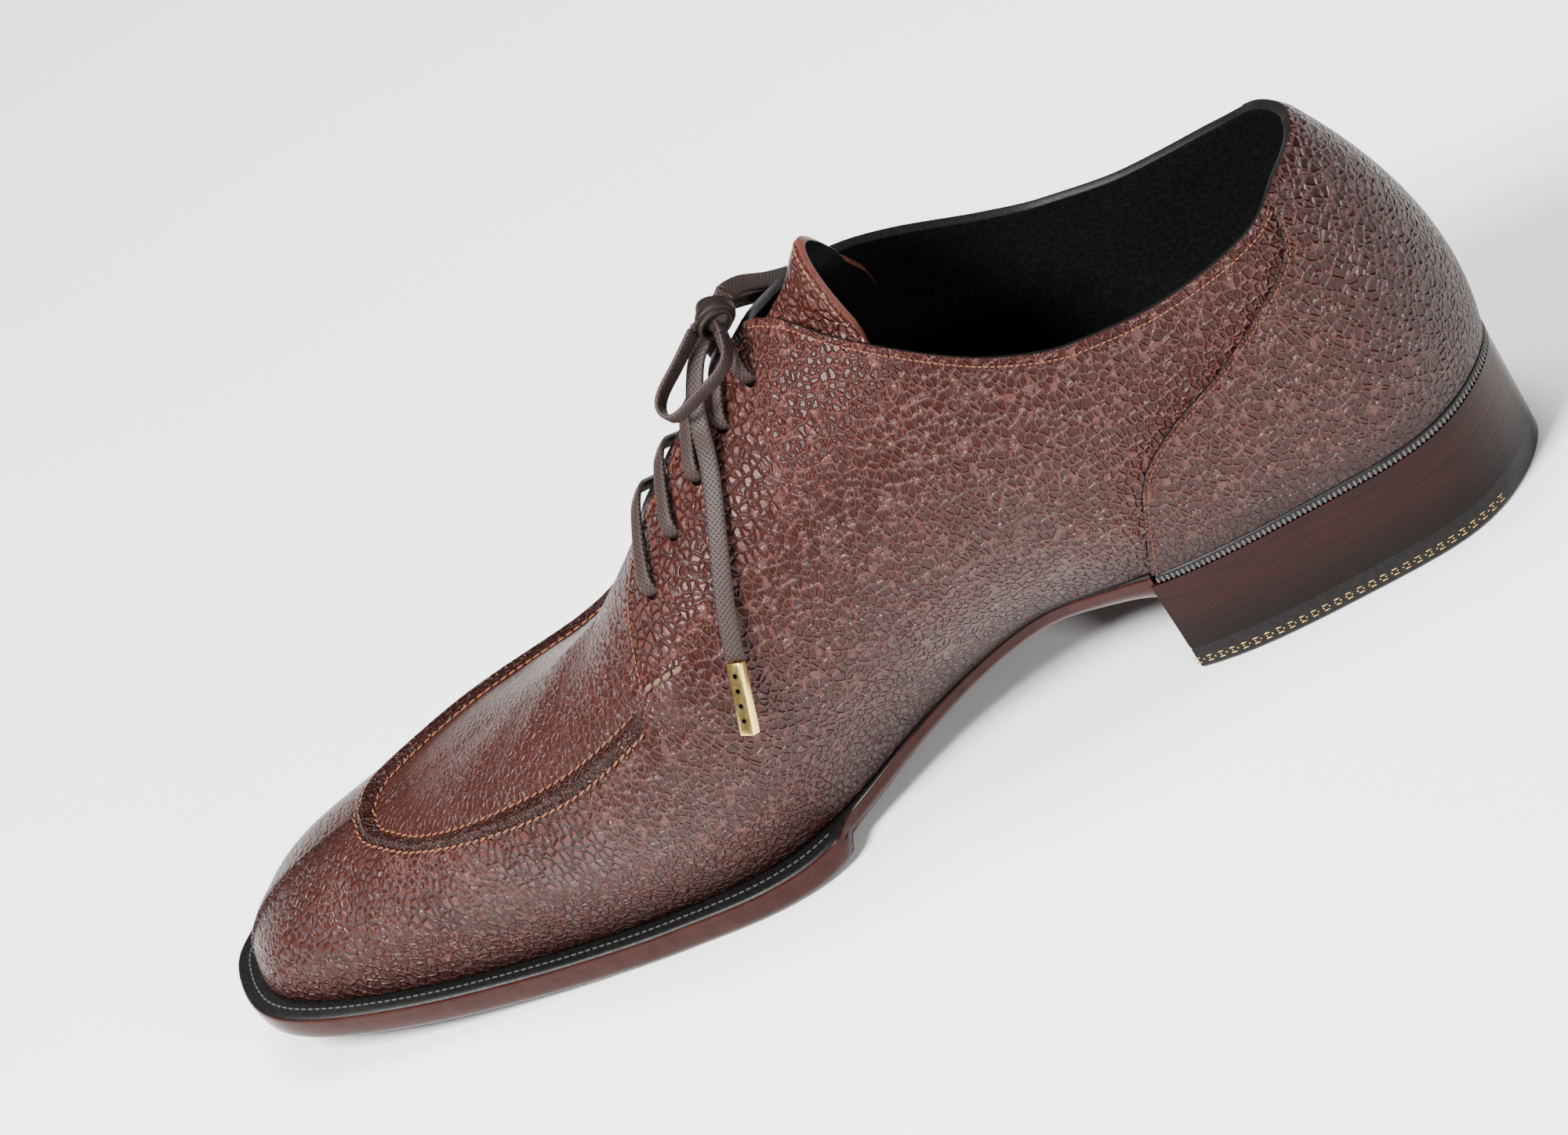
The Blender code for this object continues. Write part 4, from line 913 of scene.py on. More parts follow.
def grid_sheet(name: str, points: Array, looks: dict[str, Array] | None = None) -> Item:
    """Lay a grid primitive on a grid of points.

    Args:
        name: Name of the object.
        points: Rows by columns by three.
        looks: Values that the points carry for the leather, by name.

    Returns:
        The sheet.
    """
    rows, columns = points.shape[:2]
    deselect()
    bpy.ops.mesh.primitive_grid_add(x_subdivisions=columns - 1, y_subdivisions=rows - 1, size=1.0)
    sheet = bpy.context.active_object
    sheet.name = name
    sheet.data.name = name
    sheet.data.vertices.foreach_set("co", points.reshape(-1).astype(np.float32))
    for key, values in (looks or {}).items():
        made = sheet.data.attributes.new(key, "FLOAT", "POINT")
        made.data.foreach_set("value", np.broadcast_to(values, points.shape[:2]).reshape(-1).astype(np.float32))
    sheet.data.update()
    return sheet


def merge(name: str, items: Sequence[Item]) -> Item:
    """Join objects into one."""
    deselect()
    for item in items:
        item.select_set(True)
    bpy.context.view_layer.objects.active = items[0]
    if len(items) > 1:
        bpy.ops.object.join()
    merged = bpy.context.active_object
    merged.name = merged.data.name = name
    return merged


def join(name: str, items: Sequence[Item], weld: float = 0.00001) -> Item:
    """Join objects and weld the points that coincide."""
    joined = merge(name, items)
    with editing(joined):
        bpy.ops.mesh.remove_doubles(threshold=weld)
        bpy.ops.mesh.normals_make_consistent(inside=False)
    return joined


def drill(item: Item, rods: Sequence[Item], lining: Material) -> None:
    """Cut rods out of an object and give the holes their own material."""
    rod = join("rods", rods, weld=0.000001)
    rod.data.materials.append(lining)
    cut = item.modifiers.new("holes", "BOOLEAN")
    cut.operation = "DIFFERENCE"
    cut.solver = "EXACT"
    cut.material_mode = "TRANSFER"
    cut.object = rod
    apply_all(item)
    bpy.data.objects.remove(rod, do_unlink=True)


def face_outwards(sheet: Item, direction: Callable[[Vector], Vector]) -> None:
    """Turn a sheet over if its first faces look inwards."""
    votes = 0
    for polygon in list(sheet.data.polygons)[:: max(1, len(sheet.data.polygons) // 200)]:
        votes += 1 if polygon.normal.dot(direction(polygon.center)) > 0 else -1
    if votes < 0:
        with editing(sheet):
            bpy.ops.mesh.flip_normals()


def from_core(point: Vector) -> Vector:
    """Direction from the shoe's hollow core to a point."""
    return Vector((0.25 * (point.x - 0.09), point.y, point.z - 0.03))


def thicken(sheet: Item, thickness: float, materials: Sequence[Material], edge: float = 0.0003) -> None:
    """Give a sheet its wall and rounded edges.

    Args:
        sheet: An open sheet that faces outwards.
        thickness: Thickness of the wall, inwards.
        materials: Outside, inside and edge materials.
        edge: Radius of the rounding along the edges.
    """
    for material in materials:
        sheet.data.materials.append(material)
    wall = sheet.modifiers.new("wall", "SOLIDIFY")
    wall.thickness = thickness
    wall.offset = -1
    wall.use_even_offset = False
    wall.material_offset = 1
    wall.material_offset_rim = 2
    if edge > 0:
        rounding = sheet.modifiers.new("rounding", "BEVEL")
        rounding.width = edge
        rounding.segments = 2
        rounding.limit_method = "ANGLE"
        rounding.angle_limit = math.radians(55)
        rounding.use_clamp_overlap = True
    apply_all(sheet)
    soften(sheet)


def closed_between(name: str, sheets: Sequence[Array], degrees: float, *materials: Material,
                   wrap: bool = False) -> Item:
    """Closed body between sheets of one grid, with walls along the grid's open edges.

    Args:
        name: Name of the object.
        sheets: Sheets from one face to the other.
        degrees: Angle above which edges stay sharp.
        materials: Its materials, of which all faces have the first.
        wrap: Whether the last row joins the first.

    Returns:
        The body.
    """
    rows, columns = sheets[0].shape[:2]
    merged, vertex = np.unique(np.round(sheets[-1].reshape(-1, 3), 7), axis=0, return_inverse=True)
    vertex = vertex.reshape(-1)
    points = np.zeros((len(sheets), len(merged), 3))
    for level, sheet in enumerate(sheets):
        points[level][vertex] = sheet.reshape(-1, 3)
    cells = []
    for row in range(rows if wrap else rows - 1):
        after = (row + 1) % rows
        for k in range(columns - 1):
            cell = [row * columns + k, after * columns + k, after * columns + k + 1, row * columns + k + 1]
            corners = []
            for index in cell:
                if not corners or vertex[index] != corners[-1]:
                    corners.append(int(vertex[index]))
            if corners[0] == corners[-1]:
                corners.pop()
            if len(corners) > 2:
                cells.append(corners)
    directed = {(cell[k - 1], cell[k]) for cell in cells for k in range(len(cell))}
    rim = [edge for edge in directed if (edge[1], edge[0]) not in directed]
    size = len(merged)
    top = (len(sheets) - 1) * size
    faces = [[top + index for index in cell] for cell in cells]
    faces += [list(reversed(cell)) for cell in cells]
    for low in range(len(sheets) - 1):
        for start, end in sorted(rim):
            faces.append([(low + 1) * size + end, (low + 1) * size + start, low * size + start, low * size + end])
    item = from_lists(name, points, faces, *materials)
    with editing(item):
        bpy.ops.mesh.delete_loose()
        bpy.ops.mesh.select_all(action="SELECT")
        bpy.ops.mesh.normals_make_consistent(inside=False)
    soften(item, degrees)
    return item


def copies(name: str, model: Item, places: Array, axes: Sequence[Array], size: Sequence[float],
           material: Material) -> Item:
    """Copy a small model along a line, as one mesh.

    Args:
        name: Name of the object.
        model: The model, one metre across, which is used up.
        places: Middle of each copy.
        axes: The model's X, Y and Z at each place.
        size: Size of the copies along these three.
        material: Material of the copies.

    Returns:
        The row.
    """
    base = np.array([vertex.co for vertex in model.data.vertices])
    faces = [list(polygon.vertices) for polygon in model.data.polygons]
    bpy.data.objects.remove(model, do_unlink=True)
    points = places[:, None, :]
    for k, axis in enumerate(axes):
        points = points + base[None, :, k, None] * axis[:, None, :] * size[k]
    every = [[index + copy * len(base) for index in face] for copy in range(len(places)) for face in faces]
    return from_lists(name, points, every, material)


def leather_looks(turn: Array, share: Array) -> dict[str, Array]:
    """How dark the leather is, from burnish and painted shade, and how smooth and how plump its grain is over the shoe.

    Args:
        turn: Places round the ring.
        share: Shares of the way up to the crest.

    Returns:
        Values from 0 to 1 for burnish and painted shade, calm and pebble.
    """
    station, _ = LAST.station(turn)
    toe = ramp(station, 10.3, 12.8)
    # Darker at the toe as burnish, and darker near the sole
    burnish = np.maximum(0.40 * toe, 0.85 * (1 - ramp(share, 0.0, 0.13)))
    # Darker round the heel counter: painted shade, where the heel side falls away from the light
    burnish = np.maximum(burnish, 0.55 * (1 - ramp(station, 0.6, 3.0)) * (1 - 0.7 * ramp(share, 0.5, 0.9)))
    calm = np.maximum(0.85 * toe, 0.55 * ramp(station, 9.2, 10.8))
    calm = np.maximum(calm, 0.45 * (1 - ramp(share, 0.0, 0.10)))
    facing = ramp(station, 5.2, 6.0) * (1 - ramp(station, 7.0, 7.6)) * ramp(share, 0.50, 0.66)
    forefoot = ramp(station, 7.2, 8.0) * ramp(share, 0.12, 0.30)
    swelling = np.clip(dents(turn, share) / SWELLING_HEIGHT * 1.6 - 0.2, 0.0, 1.0)
    calm = np.maximum(calm, swelling)
    return {"burnish": burnish, "calm": calm, "pebble": np.maximum(0.75 * facing, 0.45 * forefoot)}


def dents(turn: Array, share: Array) -> Array:
    """Soft creases of wear and the small swellings that cover the ends of the apron seam.

    Args:
        turn: Places round the ring.
        share: Shares of the way up to the crest.

    Returns:
        Offsets of the leather from the last.
    """
    station, is_inner = LAST.station(turn)
    place = np.stack([station * STATION_STEP, share * GIRTH], -1)
    offset = np.zeros(np.shape(station))
    for start_station, start_share, end_station, end_share, depth in CREASES:
        start = np.array([start_station * STATION_STEP, start_share * GIRTH])
        line = np.array([end_station * STATION_STEP, end_share * GIRTH]) - start
        along = np.clip((place - start) @ line / (line @ line), 0.0, 1.0)
        away = np.linalg.norm(place - start - along[..., None] * line, axis=-1)
        offset = offset - depth * np.exp(-((away / CREASE_WIDTH) ** 2)) * (0.35 + 0.65 * np.sin(math.pi * along))
    swelling = np.where(is_inner, *SWELLING_SHARES)
    centre = np.stack([np.full(np.shape(station), SWELLING_STATION * STATION_STEP), swelling * GIRTH], -1)
    away = np.linalg.norm(place - centre, axis=-1)
    return offset + SWELLING_HEIGHT * np.exp(-((away / SWELLING_WIDTH) ** 2))


def even_steps(points: Array, spacing: float) -> tuple[Array, Array]:
    """Evenly spaced points along a polyline, with the direction at each."""
    length = distances(points)
    count = max(2, int(round(length[-1] / spacing)) + 1)
    marks = np.linspace(0, length[-1], count)
    found = np.stack([np.interp(marks, length, points[:, k]) for k in range(3)], 1)
    ahead = np.gradient(found, axis=0)
    return found, unit(ahead)


@dataclass
class StitchRow:
    """A row of stitches along a line on the last."""

    name: str
    turns: Array
    shares: Array
    material: Material
    offset: float | Array = 0.0
    pitch: float = 0.00125
    length: float = 0.00100
    width: float = 0.00036
    height: float = 0.00030
    slant: float = 0.0

    def build(self) -> Item:
        """Copy one stitch along the line."""
        deselect()
        bpy.ops.mesh.primitive_uv_sphere_add(segments=6, ring_count=4, radius=0.5)
        stitch = bpy.context.active_object
        line = LAST.point(self.turns, self.shares, self.offset)
        places, ahead = even_steps(line, self.pitch)
        length = distances(line)
        marks = np.linspace(0, length[-1], len(places))
        normal = LAST.normal(np.interp(marks, length, np.unwrap(self.turns, period=RING)),
                             np.interp(marks, length, self.shares))
        ahead = unit(ahead + unit(np.cross(normal, ahead)) * self.slant)
        row = copies(self.name, stitch, places, (np.cross(normal, ahead), normal, ahead),
                     (self.width, self.height, self.length), self.material)
        row.data.shade_smooth()
        return row


def flat_row(name: str, line: Array, material: Material, pitch: float, size: Triple, crisp: bool = False) -> Item:
    """Small bars copied along a level line.

    Args:
        name: Name of the object.
        line: Points of the line.
        material: Material of the bars.
        pitch: Distance from bar to bar.
        size: Width across the line, length along it, and height.
        crisp: Whether the bars keep flat faces.

    Returns:
        The row as one mesh.
    """
    deselect()
    bpy.ops.mesh.primitive_cube_add(size=1.0)
    bar = bpy.context.active_object
    with editing(bar):
        bpy.ops.mesh.bevel(offset=0.22, segments=1, affect="EDGES")
    places, ahead = even_steps(line, pitch)
    up = np.broadcast_to((0.0, 0.0, 1.0), ahead.shape)
    row = copies(name, bar, places, (unit(np.cross(ahead, up)), ahead, up), size, material)
    if not crisp:
        row.data.shade_smooth()
    return row


@dataclass
class Upper:
    """The leather upper: wall with quarters and facings, apron plug, raised seam, counter and tongue."""

    columns_per_station: int = 14
    lower_rows: int = 30
    upper_rows: int = 28
    plug_depth: float = 0.0011
    split_width: float = 0.0015
    split_foot: float = 12.75
    plug_rows: int = 36
    plug_thickness: float = 0.0016
    counter_thickness: float = 0.0009
    tongue_thickness: float = 0.0020
    eyelet_radius: float = 0.0015

    def build(self) -> None:
        """Build every piece of the upper."""
        for step in (self.build_wall, self.build_plug, self.build_ridge, self.build_split, self.build_counter,
                     self.build_tongue, self.build_stitches):
            step()

    def build_wall(self) -> None:
        """One wall from the feather to the apron seam, the throat, the slot and the collar."""
        back = np.linspace(0, THROAT, int(THROAT * self.columns_per_station) + 1)
        front = np.linspace(THROAT, LAST_STATION, int((LAST_STATION - THROAT) * self.columns_per_station) + 1)[1:]
        turns = round_toe(np.concatenate([back, front]))
        steps = np.linspace(0, 1, self.lower_rows)[:, None]
        share = LAST.belt(turns)[None, :] * steps
        turn = np.repeat(turns[None, :], self.lower_rows, axis=0)
        sheets = [grid_sheet("wall_low", LAST.point(turn, share, dents(turn, share)), leather_looks(turn, share))]
        for hand in Hand:
            side = LAST.turn(hand, back)
            steps = np.linspace(0, 1, self.upper_rows)[:, None]
            share = between(LAST.belt(side), LAST.edge(COLLAR, side), steps)
            place = LAST.bent_turn(hand, np.repeat(back[None, :], self.upper_rows, axis=0), share)
            place[0] = side
            sheets.append(grid_sheet("wall_high", LAST.point(place, share, dents(place, share)),
                                     leather_looks(place, share)))
        wall = join("upper_wall", sheets)
        face_outwards(wall, from_core)
        thicken(wall, WALL, (LEATHER, LINING, EDGE_DYE))
        self.punch(wall)
        seat(wall, "grain_leather", "upper")

    def punch(self, wall: Item) -> None:
        """Punch the eyelets through the facings."""
        rods = []
        for pair in EYELETS:
            for hand, station, share in eyelets(pair):
                turn = LAST.turn(hand, station)
                normal = Vector(LAST.normal(turn, share))
                deselect()
                bpy.ops.mesh.primitive_cylinder_add(vertices=20, radius=self.eyelet_radius, depth=0.012,
                                                    location=Vector(LAST.point(turn, share)) - normal * 0.001,
                                                    rotation=normal.to_track_quat("Z", "Y").to_euler())
                rods.append(bpy.context.active_object)
        drill(wall, rods, EDGE_DYE)

    def build_plug(self) -> None:
        """Apron plug, sunk under the wall's edge and carried back under the facings."""
        stations = np.linspace(6.95, LAST_STATION, int(6.05 * self.columns_per_station))
        steps = np.linspace(0, 1, self.plug_rows)[:, None]
        sheets = []
        for hand in Hand:
            turn = LAST.turn(hand, stations)
            middle = (LAST.edge(APRON_OUTER_ROW, turn) + LAST.edge(APRON_INNER_ROW, turn)) / 2
            share = between(middle - 0.03, 1.0, steps)
            place = np.repeat(turn[None, :], self.plug_rows, axis=0)
            station = LAST.station(place)[0]
            lift = np.minimum(dents(place, share), 0.0) - self.plug_depth - 0.0005 * (1 - ramp(station, 7.5, 8.4))
            looks = {"burnish": 0.25 * ramp(station, 10.0, 13.0), "calm": 0.72 + 0.1 * ramp(station, 7.6, 9.0),
                     "pebble": np.zeros(share.shape)}
            sheets.append(grid_sheet("plug", LAST.point(place, share, lift), looks))
        plug = join("apron_plug", sheets)
        face_outwards(plug, lambda point: Vector((0, 0, 1)))
        thicken(plug, self.plug_thickness, (LEATHER, LINING, EDGE_DYE), edge=0.0)
        seat(plug, "grain_leather")

    def build_ridge(self) -> None:
        """Raised hand-sewn seam round the apron."""
        turns = round_toe(np.linspace(THROAT - 0.02, LAST_STATION, 130))
        low = LAST.edge(APRON_OUTER_ROW, turns)
        high = LAST.edge(APRON_INNER_ROW, turns)
        profile = ((-0.10, -0.30), (-0.02, 0.12), (0.12, 0.28), (0.26, 0.62), (0.38, 1.02), (0.50, 1.18),
                   (0.62, 1.02), (0.74, 0.50), (0.88, 0.02), (1.0, -0.35), (1.12, -1.30))
        part, height = (np.array(column) for column in zip(*profile))
        share = between(low[:, None], high[:, None], part)
        place = np.repeat(turns[:, None], len(part), axis=1)
        fade = 0.25 + 0.75 * ramp(LAST.station(place)[0], THROAT, THROAT + 0.25)
        outer = LAST.point(place, share, height[None, :] * 0.001 * fade)
        inner = LAST.point(place, share, np.full(share.shape, -0.0018))
        seat(closed_between("apron_ridge", [inner, outer], 60, SEAM_LEATHER), "grain_leather")

    def build_split(self) -> None:
        """Fine raised seam down the middle of the toe."""
        shares = np.linspace(0.845, 0.055, 46)
        turns = np.linspace(LAST_STATION, self.split_foot, 46)
        size = np.linalg.norm(LAST.point(turns + 0.05, shares) - LAST.point(turns - 0.05, shares), axis=1) / 0.1
        profile = ((-1.5, -0.0003), (-1.0, 0.00002), (-0.55, 0.0003), (-0.14, 0.00048), (0.0, 0.0001),
                   (0.14, 0.00048), (0.55, 0.0003), (1.0, 0.00002), (1.5, -0.0003))
        across, height = (np.array(column) for column in zip(*profile))
        place = turns[:, None] + across[None, :] * self.split_width / 2 / size[:, None]
        share = np.repeat(shares[:, None], len(across), axis=1)
        outer = LAST.point(place, share, np.broadcast_to(height, share.shape))
        inner = LAST.point(place, share, np.full(share.shape, -0.0012))
        seat(closed_between("split_toe_seam", [inner, outer], 60, SEAM_LEATHER), "grain_leather")

    def build_counter(self) -> None:
        """Outside counter, laid over the quarters along its curved seam."""
        rises = np.linspace(0, 1, 60)
        spread = np.linspace(0, 1, 90)
        sheets = []
        for hand in Hand:
            front = LAST.counter_front(hand, rises)
            place = LAST.turn(hand, front[:, None] * spread[None, :])
            share = LAST.edge(COLLAR, place) * rises[:, None]
            lift = self.counter_thickness * (1 - 0.75 * ramp(rises, 0.97, 1.0))[:, None]
            sheets.append(grid_sheet("counter", LAST.point(place, share, lift), leather_looks(place, share)))
        counter = join("heel_counter_panel", sheets)
        face_outwards(counter, lambda point: Vector((point.x - 0.01, point.y, 0)))
        thicken(counter, self.counter_thickness + 0.0003, (LEATHER, LINING, EDGE_DYE), edge=0.00025)
        seat(counter, "grain_leather", "heel_counter")

    @staticmethod
    def tongue_face(stations: Array) -> Array:
        """Outer face of the tongue: sides that follow the upper, joined by an arch.

        Args:
            stations: Section numbers from the free top down.

        Returns:
            Rows by columns of points.
        """
        table = np.array(TONGUE_ROWS)
        half, drop, sink = (smooth(stations, table[:, 0], table[:, column]) for column in (1, 2, 3))
        climb = np.linspace(0, 1, 16)
        sides = []
        slopes = []
        wider = np.array(TONGUE_WIDER)
        for place, extra in ((stations, 0.0), (RING - stations, smooth(stations, wider[:, 0], wider[:, 1]))):
            shoulder = np.minimum(LAST.edge(COLLAR, place) + TONGUE_CLEAR, TONGUE_SHOULDER)
            share = between((1 - half - extra)[:, None], shoulder[:, None], climb)
            sides.append(LAST.point(place[:, None], share, -TONGUE_DEPTH))
            slope = unit(LAST.point(place, shoulder, -TONGUE_DEPTH) - LAST.point(place, shoulder - 0.02, -TONGUE_DEPTH))
            slope = slope + TONGUE_UPRIGHT * (1.0 - drop)[:, None] * np.array([0.3, 0.0, 1.0])
            slopes.append(unit(slope))
        inner, outer = (side[:, -1] for side in sides)
        rise = LAST.point(stations, 1.0)[:, 2] - TONGUE_DROP * drop - (inner + outer)[:, 2] / 2
        handle = (8 * rise / (3 * (slopes[0] + slopes[1])[:, 2]))[:, None]
        arch = [(1 - t) ** 3 * inner + 3 * (1 - t) ** 2 * t * (inner + slopes[0] * handle)
                + 3 * (1 - t) * t**2 * (outer + slopes[1] * handle) + t**3 * outer
                for t in np.linspace(0, 1, 24)[1:-1]]
        sheet = np.concatenate([sides[0], np.stack(arch, 1), sides[1][:, ::-1]], axis=1)
        sheet[..., 2] -= TONGUE_SINK * sink[:, None]
        return sheet

    def build_tongue(self) -> None:
        """Tongue with its rounded, stitched free top and black lining."""
        stations = np.concatenate([np.linspace(4.84, 5.3, 26), np.linspace(5.3, 7.9, 44)[1:]])
        points = self.tongue_face(stations)
        looks = {"burnish": np.zeros(1), "calm": np.full(1, 0.25), "pebble": np.full(1, 0.6)}
        tongue = join("tongue_panel", [grid_sheet("tongue", points, looks)])
        face_outwards(tongue, lambda point: Vector((0, 0, 1)))
        # Edges in a lighter brown: painted light on the far edge in the shoe's shade
        thicken(tongue, self.tongue_thickness, (LEATHER, LINING, LIT_TONGUE_EDGE), edge=0.0003)
        seat(tongue, "grain_leather", "tongue")

    def build_stitches(self) -> None:
        """Every row of stitches on the upper."""
        rows = [self.collar_row(), self.apron_row(APRON_OUTER_ROW, "outer", -0.03, 0.00035),
                self.apron_row(APRON_INNER_ROW, "inner", 0.13, -0.00085)]
        seat(self.tongue_row(), "grain_leather")
        for hand in Hand:
            rows += [self.facing_row(hand), self.counter_row(hand), self.bartack(hand)]
        for row in rows:
            seat(row.build(), "grain_leather")

    def tongue_row(self) -> Item:
        """Row of stitches under the tongue's free edge."""
        line = self.tongue_face(np.array([4.84, 4.89, 4.94]))[1, 14:-14] + (-0.0001, 0.0, 0.0002)
        return flat_row("tongue_stitches", line, TAN_THREAD, 0.0015, (0.0004, 0.0011, 0.0004))

    @staticmethod
    def collar_row() -> StitchRow:
        """Row just under the collar, from facing to facing round the back."""
        stations = np.linspace(5.55, 0, 240)
        turns = np.concatenate([stations, -stations[-2::-1]])
        collar = LAST.edge(COLLAR, turns)
        height = np.linalg.norm(LAST.point(turns, collar) - LAST.point(turns, 0.0), axis=-1)
        on_counter = np.abs(turns) < COUNTER_SEAM[-1].inner
        return StitchRow("collar_stitches", turns, collar - 0.0020 * collar / height, TAN_THREAD,
                         offset=np.where(on_counter, 0.0004, 0.0001))

    @staticmethod
    def apron_row(rows: Sequence[Edge], name: str, shift: float, offset: float) -> StitchRow:
        """One of the two rows along the apron seam."""
        turns = round_toe(np.linspace(THROAT + 0.02, LAST_STATION, 160))
        band = LAST.edge(APRON_INNER_ROW, turns) - LAST.edge(APRON_OUTER_ROW, turns)
        shares = LAST.edge(rows, turns) + shift * band
        return StitchRow(f"apron_stitches_{name}", turns, shares, TAN_THREAD, offset=offset, pitch=0.0021,
                         length=0.0019, width=0.00055, height=0.00055, slant=0.25)

    @staticmethod
    def facing_row(hand: Hand) -> StitchRow:
        """Row along the slot and the front edge of a facing."""
        slot = np.linspace(5.62, 7.02, 60)
        shares = LAST.edge(COLLAR, LAST.turn(hand, slot)) - 0.040
        corner = np.linspace(0, 1, 14)[1:-1]
        front_shares = np.linspace(0.885, 0.60, 40)
        front = LAST.throat(front_shares) - 0.085
        bend_station = slot[-1] + (front[0] - slot[-1]) * np.sin(corner * math.pi / 2)
        bend_share = shares[-1] + (front_shares[0] - shares[-1]) * (1 - np.cos(corner * math.pi / 2))
        station = np.concatenate([slot, bend_station, front])
        share = np.concatenate([shares, bend_share, front_shares])
        return StitchRow(f"facing_stitches_{hand.side}", LAST.turn(hand, station), share, TAN_THREAD, offset=0.0001)

    @staticmethod
    def counter_row(hand: Hand) -> StitchRow:
        """Row just inside the counter's seam."""
        reach, turn_step, rise_step = 0.0011, 0.05, 0.02
        rises = np.linspace(0.02, 0.97, 120)
        turn = LAST.turn(hand, LAST.counter_front(hand, rises))
        collar = LAST.edge(COLLAR, turn)
        edge = LAST.point(turn, collar * rises)
        inside = unit(np.cross(np.gradient(edge, axis=0), LAST.normal(turn, collar * rises)))
        back = LAST.point(turn - turn_step, collar * rises) - edge
        down = LAST.point(turn, collar * (rises - rise_step)) - edge
        turn_rate = np.abs(np.einsum("ij,ij->i", back, inside)) / turn_step
        rise_rate = np.abs(np.einsum("ij,ij->i", down, inside)) / rise_step
        scale = reach / (turn_rate**2 + rise_rate**2)
        shares = collar * np.clip(rises - scale * rise_rate, 0.0, 1.0)
        return StitchRow(f"counter_stitches_{hand.side}", turn + hand.value * scale * turn_rate, shares,
                         BROWN_THREAD, offset=0.00095)

    @staticmethod
    def bartack(hand: Hand) -> StitchRow:
        """Short strong stitches at the throat corner."""
        start, end = ((7.21, 0.578), (6.95, 0.548)) if hand is Hand.INNER else ((7.22, 0.605), (7.00, 0.590))
        stations, shares = np.linspace(start, end, 12).T
        turns = LAST.turn(hand, stations)
        return StitchRow(f"bartack_{hand.side}", turns, shares, PALE_THREAD, offset=0.0002 + dents(turns, shares),
                         pitch=0.0026, length=0.0025, width=0.0014, height=0.0008, slant=0.25)


